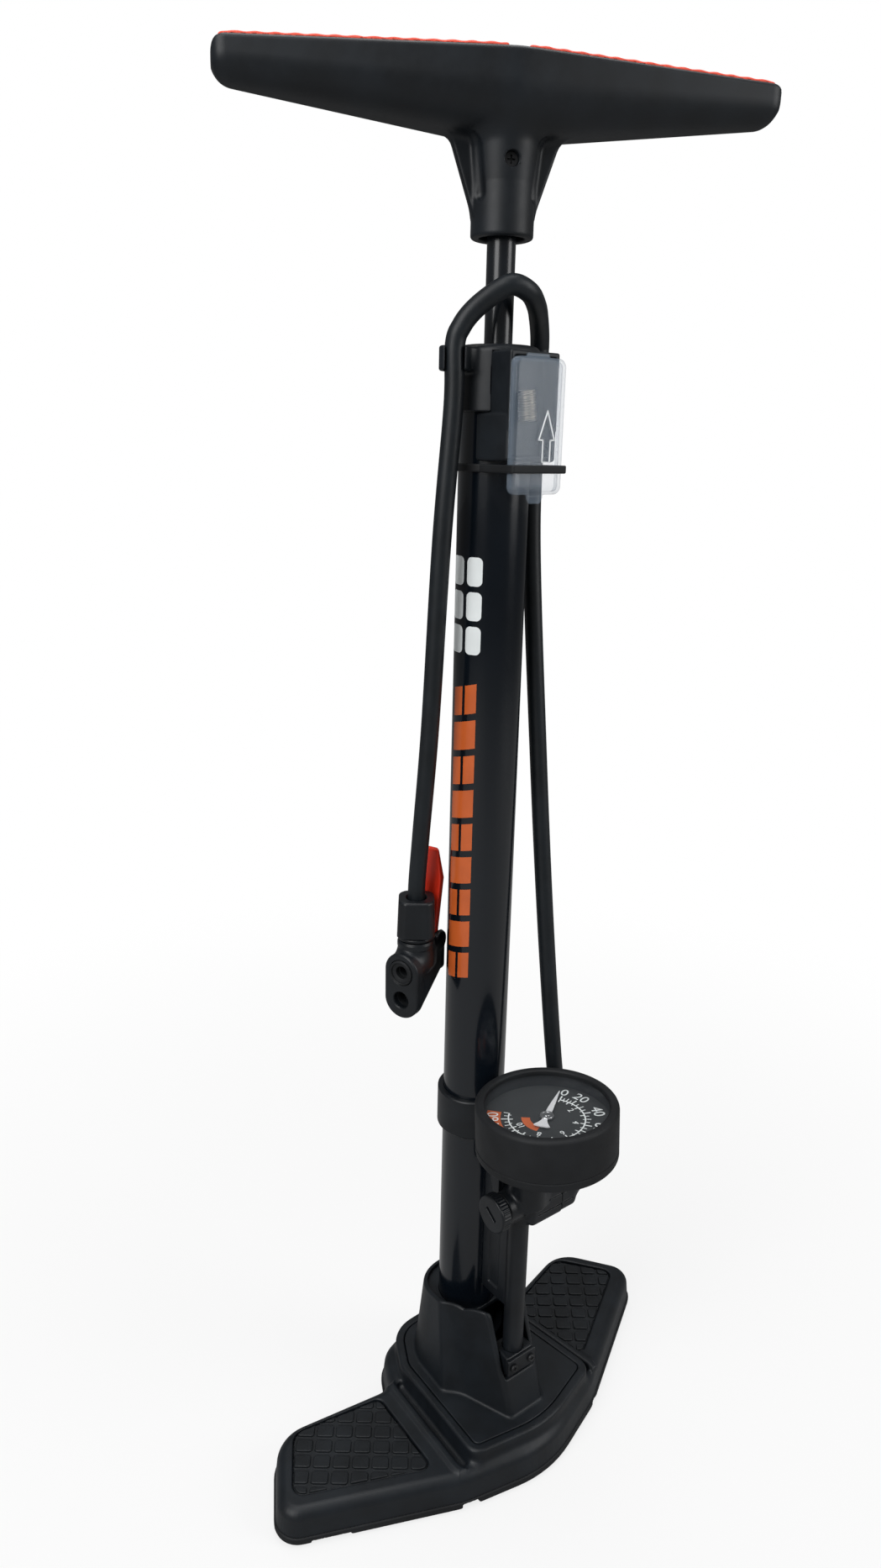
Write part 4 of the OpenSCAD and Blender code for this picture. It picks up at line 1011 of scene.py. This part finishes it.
@moulding("box_lid", LID_CLEAR, body="lid", step=0.35)
def lid_clear(x, y, z):
    plan = d_rect(x, z - (LID_LOW + LID_HIGH) / 2, 14.0, (LID_HIGH - LID_LOW) / 2, 3.6)
    d = d_extrude(plan, y, LID_Y, BOX_FRONT - 0.05 + 2, 1.5)
    d = maximum(d, y - (BOX_FRONT - 0.05))
    nub = maximum(hypot(x, z - LID_LOW + 0.2) - 4.2, abs(y - (BOX_FRONT - 2.25)) - 0.75)
    tab = d_box(x, y, z, (-6, BOX_FRONT - 1.9, LID_HIGH - 1), (6, BOX_FRONT - 0.3, LID_HIGH + 1.5), 0.5)
    d = smin(smin(d, nub, 0.8), tab, 0.8)
    hollow = d_extrude(plan + 1.15, y, LID_Y + 1.15, BOX_FRONT + 6, 1.0)
    return cut(d, hollow, 0.3)


arrow = [(0, 536), (4.4, 524.4), (2.1, 524.4), (2.1, 515.4), (-2.1, 515.4), (-2.1, 524.4), (-4.4, 524.4)]


def on_lid(p):
    """Lid decoration: outline x and height become x and z, and thickness stands out of the lid's front."""
    return np.stack([p[:, 0] + 3.9, LID_Y - p[:, 2], p[:, 1] + 2.6], 1)


rim = []
for a, b in zip(arrow, arrow[1:] + arrow[:1]):
    e = unit(np.subtract(b, a)) * 0.28
    side = np.array([-e[1], e[0]])
    corners = (a - e + side, b + e + side, b + e - side, a - e - side)
    rings = [[(*q, z) for q in corners] for z in (-0.1, 0.16)]
    rim.append(loft("edge", [on_lid(np.array(ring)) for ring in rings], LID_MARK, "lid"))
joined("lid_arrow", rim, LID_MARK, "lid")

STRAP_Z = 513.4


@moulding("retaining_strap", RUBBER, step=0.4)
def strap_moulded(x, y, z):
    reach = LID_Y - 0.05
    r = hypot(x, y)
    round_back = r - BARREL_R - 1.6
    square = d_rect(x, y - (reach - 1.4) / 2, 15.4, -(reach - 1.4) / 2, 1.2)
    square = maximum(square, y + 2)
    d = minimum(round_back, square)
    inner = maximum(abs(x) - 14.05, maximum(reach - y, y + 11.9))
    d = cut(d, minimum(inner, r - BARREL_R - 0.05))
    w = abs(z - STRAP_Z - 1.7) - 1.7
    return smax(d, w, 0.7)


@moulding("presta_adapter", NICKEL, step=0.2)
def thread_adapter(x, y, z):
    dx, dy, dz = x - 0.2, y - (BOX_FRONT + 3.9), z - 534.5
    u, w = turned(dx, dz, radians(-8))
    r = hypot(u, dy)
    thread = 3.85 + 0.32 * np.cos(2 * pi * (w / 1.15 - np.arctan2(dy, u) / (2 * pi)))
    d = d_extrude((r - thread) * 0.75, w, 0, 12.5, 0.4)
    return cut(d, (r - 2.3))


# ---- rod and handle

foot, head = ROD[0][2], ROD[1][2]
shoulder = foot + 28
rod = [(0, foot), (3.4, foot), (4, foot + 0.6), (4, shoulder), (ROD_R - 0.4, shoulder)]
rod += [(ROD_R, shoulder + 0.4), (ROD_R, head - 0.4), (ROD_R - 0.4, head), (0, head)]
lathe("rod", "piston_rod", rod, ROD_PAINT, "handle")

HANDLE_HALF, HANDLE_TOP, HANDLE_UNDER = 117.0, 670.6, COLLAR_Z + 35.5
SCREW_Z = COLLAR_Z + 27.5


at_handle = spun(HANDLE_TURN)


@moulding("handle_body", BLACK, body="handle", step=0.7, place=at_handle,
          box=((-HANDLE_HALF, -23.2, COLLAR_Z), (HANDLE_HALF, 23.2, HANDLE_TOP)))
def handle_moulded(x, y, z):
    ax = hypot(x, 3.0) - 0.4
    t = np.clip(ax / HANDLE_HALF, 0, 1.2)
    half = mix(23.0, 9.5, t)
    top = HANDLE_TOP - t
    bottom = mix(HANDLE_UNDER, HANDLE_TOP - 15.5, t)
    rb = minimum(half - 0.5, (top - bottom) * 0.62)
    dy, up, down = abs(y) - half, z - top, bottom - z
    end = abs(x) - HANDLE_HALF + 0.3 * maximum(HANDLE_TOP - 10 - z, 0)
    wing = smax(maximum(meet(dy, down, rb), meet(dy, up, 1.8)), end, 6.0)
    r = hypot(x, y)
    rise = z - COLLAR_Z
    collar = d_extrude(r - 13.2 - 0.10 * maximum(rise - 20, 0), z, COLLAR_Z, COLLAR_Z + 42, 1.3)
    slope = (abs(x) - 13.0) * 0.943 - (rise - 8) * 0.333
    rib = smax(maximum(abs(y) - 2.4, 8 - rise), slope, 1.4)
    rib = maximum(rib, z - HANDLE_UNDER - 4)
    d = smin(collar, rib, 1.6)
    # shallow pockets between the collar and its side ribs
    pocket = d_capsule(abs(x), abs(y), z, (12.4, 6.6, COLLAR_Z + 16), (15.8, 7.6, COLLAR_Z + 40), 3.0)
    d = cut(d, pocket, 1.2)
    d = smin(d, wing, 4.5)
    d = cut(d, maximum(r - 9.5, z - COLLAR_Z - 8), 1.0)
    d = cut(d, maximum(bore(x, y, ROD_R), z - COLLAR_Z - 50))
    hole = hypot(x, z - SCREW_Z)
    d = cut(d, maximum(hole - 3.0, y + 9), 0.5)
    return cut(d, maximum(hole - 1.7, y))


def grip_shape(side):
    def shape(x, y, z):
        u = x * side
        t = np.clip(u / HANDLE_HALF, 0, 1)
        half = mix(23.0, 9.5, t) - 2.0
        low = HANDLE_TOP + 0.05 - t
        wave = 0.5 - 0.5 * np.cos(2 * pi * u / 7.4)
        high = low + 0.95 + 0.30 * wave
        plan = smax(smax(abs(y) - half, 4.0 - u, 2.5), u - (HANDLE_HALF - 3), 4.0)
        return maximum(round_top(plan, z, high, 0.8), low - z)
    return shape


for side, word in ((-1, "left"), (1, "right")):
    edge = sorted((side * 3.5, side * HANDLE_HALF))
    box = ((edge[0], -22, HANDLE_TOP - 1.5), (edge[1], 22, HANDLE_TOP + 2.2))
    moulding(word + "_grip", GRIP, "handle", 0.5, at_handle, box, "grip_" + word)(grip_shape(side))


# ---- valve head

at_chuck = spun(CHUCK_TURN, CHUCK_X, CHUCK_Y)
NUT_TURN = radians(33.7)
NUT_H = 21.5
RING_R = 6.6


@moulding("chuck_nut", BLACK_FINE, step=0.33, place=at_chuck,
          box=((-10.5, -10.5, NUT_Z), (10.5, 10.5, NUT_Z + NUT_H)))
def chuck_nut_moulded(x, y, z):
    u, v = (abs(q) for q in turned(x, y, -NUT_TURN))
    t = (z - NUT_Z) / NUT_H
    half = 9.5 - 0.7 * t
    square = smax(u - half, v - half, 0.8)
    square = smax(square, (u + v) * sqrt(0.5) - (half - 1.15) * sqrt(2), 0.8)
    r = hypot(x, y)
    d = smax(square, r - 11.4 + t, 0.6)
    d = round_top(d, z, NUT_Z + NUT_H, 1.4)
    d = smax(d, NUT_Z + 2.4 - z, 0.5)
    ring = d_cyl(x, y, z, 9.3, NUT_Z + 0.05, NUT_Z + 1.9, 0.7)
    d = smin(minimum(d, ring), d_cyl(x, y, z, 8.5, NUT_Z + 0.05, NUT_Z + 5, 0.3), 0.4)
    flare = 0.6 * maximum(z - (NUT_Z + NUT_H - 1.2), 0)
    return cut(d, (r - HOSE_R - 0.45 - flare), 0.3)


@moulding("chuck_body", BLACK_FINE, step=0.36, place=at_chuck,
          box=((-19.4, -10.2, PORT_Z[1] - 10.2), (FACE_X + 0.2, 10.2, NUT_Z + 6)))
def chuck_body_moulded(x, y, z):
    t = np.clip((x - PIVOT_X) / (FACE_X - 5 - PIVOT_X), 0, 1)
    low = mix(PIVOT_Z - 17.0, PORT_Z[1] - 9.8, t)
    high = mix(PIVOT_Z + 4.5, PORT_Z[0] + 9.8, t)
    half = mix(6.2, 9.8, t)
    corner = mix(2.5, 9.75, t)
    centre, tall = (low + high) / 2, (high - low) / 2
    section = d_rect(y, z - centre, half, tall, corner)
    d = smax(section * 0.85, x - FACE_X, 1.2)
    knob = d_cyl(x - PIVOT_X, z - PIVOT_Z, y, 4.6, -6.2, 6.2, 0.7)
    d = smax(d, PIVOT_X - 4.4 - x, 2.4)
    d = smin(d, knob, 0.8)
    neck = d_cyl(x, y, z, 9.0, PORT_Z[0], NUT_Z - 0.5, 0.8)
    shoulder = d_cyl(x, y, z, 9.25, NUT_Z - 4.4, NUT_Z - 1.4, 0.7)
    d = smin(d, neck, 2.6)
    d = smin(d, shoulder, 0.5)
    d = minimum(d, d_cyl(x, y, z, 6.4, NUT_Z - 2, NUT_Z + 6, 0.3))
    narrow = hypot(y, z - PORT_Z[0])
    wide = hypot(y, z - PORT_Z[1])
    # a raised bead runs round the narrow port's ring
    d = cut(d, maximum(narrow - RING_R - 0.05, FACE_X - 10 - x), 0.35)
    d = cut(d, maximum(wide - 4.2 - maximum(x - FACE_X + 0.8, 0) * 0.6, FACE_X - 9 - x), 0.3)
    slot = d_box(x, y, z, (-26, -3.4, PIVOT_Z - 5.2), (-9.5, 3.4, PIVOT_Z + 15), 0.6)
    return cut(d, slot, 0.5)


@moulding("chuck_lever", LEVER, body="lever", step=0.33, place=at_chuck,
          box=((-19, -6.5, PIVOT_Z - 4.5), (-10.0, 6.5, PIVOT_Z + 49.8)))
def chuck_lever_moulded(x, y, z):
    h = z - PIVOT_Z
    half = np.interp(h, [1, 6.5, 34, 49.5], [3.2, 3.6, 6.0, 4.2])
    back = np.interp(h, [1, 6.5, 34, 49.5], [-2.6, -2.6, -3.0, -0.6]) + PIVOT_X
    front = np.interp(h, [1, 6.5, 34, 49.5], [2.6, 2.4, 2.2, 2.6]) + PIVOT_X
    middle, thick = (back + front) / 2, (front - back) / 2
    d = d_rect(x - middle, y, thick, half, 0.8)
    # the side away from the hose is chamfered along both edges
    chamfer = (abs(y) - half) * 0.7 + (middle - x - thick + 1.8) * 0.7
    d = smax(d, chamfer, 0.4)
    d = smax(smax(d, h - 49.5, 1.2), 1 - h, 0.5)
    return smin(d, d_cyl(x - PIVOT_X, h, y, 4.0, -3.2, 3.2, 0.5), 1.2)


port = [(3.2, -3), (6.5, -3), (6.5, 0.2), (6.1, 0.7), (5.6, 0.8), (5.25, 0.5), (5.15, -0.1), (4.9, -0.2),
        (3.7, -0.35), (3.3, -0.6), (3.2, -1.0)]
lathe("presta_ring_moulded", "presta_port_ring", port, RUBBER, segments=64,
      place=lambda p: at_chuck(np.stack([p[:, 2] + FACE_X, p[:, 0], p[:, 1] + PORT_Z[0]], 1)))


# ---- small hardware

def screw_piece(name, centre, direction, head_r, head_h, length, shank):
    """A pan-head screw with a cross recess, as one closed piece."""
    def local(x, y, z):
        r = hypot(x, y)
        head = d_extrude(r - head_r + 0.18 * maximum(z + head_h * 0.5, 0), z, -head_h, 0, 0.35)
        stem = d_cyl(x, y, z, shank, -length, -head_h * 0.5, 0.2)
        cross = minimum(maximum(abs(x) - head_r * 0.13, abs(y) - head_r * 0.55),
                           maximum(abs(y) - head_r * 0.13, abs(x) - head_r * 0.55))
        return smax(minimum(head, stem), -maximum(cross, -head_h * 0.62 - z), 0.15)

    return moulding(None, DARK_STEEL, step=0.2, place=along(centre, direction, (0.13, 0.2, 1)),
                    box=((-head_r, -head_r, -length), (head_r, head_r, 0)), name=name)(local)


clamp_screws = [screw_piece("clamp_screw_%d" % i, (x, CLAMP_Y - 3.2, 54.5), (0, -1, 0), 2.2, 1.4, 5.4, 1.1)
                for i, x in enumerate((-6, 6))]
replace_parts(clamp_screws[0], "stem_clamp_screws")


# ---- finishes for the CAD nodes that stay

KEPT = [
    (RUBBER, "rubber_feet barrel_gasket check_valve_disc stem_seals plug_seal rod_wiper piston_ring"),
    (RUBBER, "presta_seal schrader_seal"), (STEEL, "socket_screws check_valve_spring piston_nut"),
    (DARK_STEEL, "gauge_stem handle_screw chuck_lever_pin"), (ENAMEL, "gauge_case"), (DIAL_AND_GLARE, "gauge_dial"),
    (BRASS, "gauge_movement sector_gear bourdon_tube"), (WHITE_NYLON, "rod_bushing piston_head"),
]
for material, names in KEPT:
    for name in names.split():
        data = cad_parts[name].data
        data.materials.clear()
        data.materials.append(material)


# ---- stage, light and camera

WORLD_GLOW = 0.16                      # how bright the room is to everything but the camera
FLOOR_BOUNCE = 0.35


def area_light(name, place, target, size, power):
    light = bpy.data.lights.new(name, "AREA")
    light.shape = "RECTANGLE"
    light.size, light.size_y = size
    light.energy = power
    obj = new_object(name, light)
    obj.location = place
    obj.rotation_euler = (Vector(target) - Vector(place)).to_track_quat("-Z", "Y").to_euler()


def mix_shaders(tree, share, first, second):
    mixer = add_node(tree, "MixShader", {0: share, 1: first, 2: second})
    return mixer.outputs["Shader"]


def camera_only(tree, seen, unseen, output):
    """Shows one shader to the camera and lets another light the pump."""
    rays = add_node(tree, "LightPath", {})
    set_inputs(tree, output, {"Surface": mix_shaders(tree, rays.outputs["Is Camera Ray"], unseen, seen)})


floor_mesh = bpy.data.meshes.new("floor")
floor_mesh.from_pydata([(-9, -9, 0), (9, -9, 0), (9, 9, 0), (-9, 9, 0)], [], [(0, 1, 2, 3)])
paper, tree, matte = new_material("floor_paper")
set_inputs(tree, matte, {"Base Color": (*[FLOOR_BOUNCE] * 3, 1), "Roughness": 0.9,
                         "Specular IOR Level": 0.05})
# the floor takes shadows near the pump and fades into the white room further out
reach = add_node(tree, "VectorMath", {0: add_node(tree, "TexCoord", {}).outputs["Object"]})
reach.operation = "LENGTH"
fade = add_node(tree, "MapRange", {"Value": reach.outputs["Value"], "From Min": 0.16, "From Max": 0.75,
                                   "To Min": 0.22, "To Max": 0.0})
fade.interpolation_type = "SMOOTHSTEP"
glow = add_node(tree, "Emission", {})
shade = add_node(tree, "BsdfDiffuse", {"Color": (0.75, 0.75, 0.75, 1)})
lit = mix_shaders(tree, fade.outputs["Result"], glow.outputs["Emission"], shade.outputs["BSDF"])
output = next(n for n in tree.nodes if n.type == "OUTPUT_MATERIAL")
camera_only(tree, lit, matte.outputs["BSDF"], output)
floor_mesh.materials.append(paper)
new_object("floor", floor_mesh)

world = bpy.data.worlds.new("studio")
world.use_nodes = True
tree = world.node_tree
dim = tree.nodes["Background"]
set_inputs(tree, dim, {"Color": (1, 1, 1, 1), "Strength": WORLD_GLOW})
bright = add_node(tree, "Background", {"Color": (1, 1, 1, 1), "Strength": 1.0})
camera_only(tree, bright.outputs["Background"], dim.outputs["Background"], tree.nodes["World Output"])
bpy.context.scene.world = world

area_light("key", (-1.4, -0.4, 1.3), (0, 0, 0.3), (1.0, 1.6), 26)
area_light("fill", (0.9, -1.3, 1.0), (0, 0, 0.3), (0.8, 1.2), 12)
area_light("top", (0.1, 0.1, 1.9), (0, 0, 0), (1.2, 1.2), 16)

camera_data = bpy.data.cameras.new("camera")
camera_data.sensor_width = 36
camera_data.lens = 24.69
camera_data.clip_start = 0.01
camera = new_object("camera", camera_data)
forward = Vector((0.5824, 0.7562, -0.2982)).normalized()
level = Vector((0.7923, -0.6101, 0)).normalized()
right = Matrix.Rotation(-radians(1.18), 3, forward) @ level
rotation = Matrix((right, right.cross(forward), -forward)).transposed()
camera.matrix_world = Matrix.Translation((-0.3203, -0.3817, 0.523)) @ rotation.to_4x4()
bpy.context.scene.camera = camera
bpy.context.scene.view_settings.view_transform = "Standard"
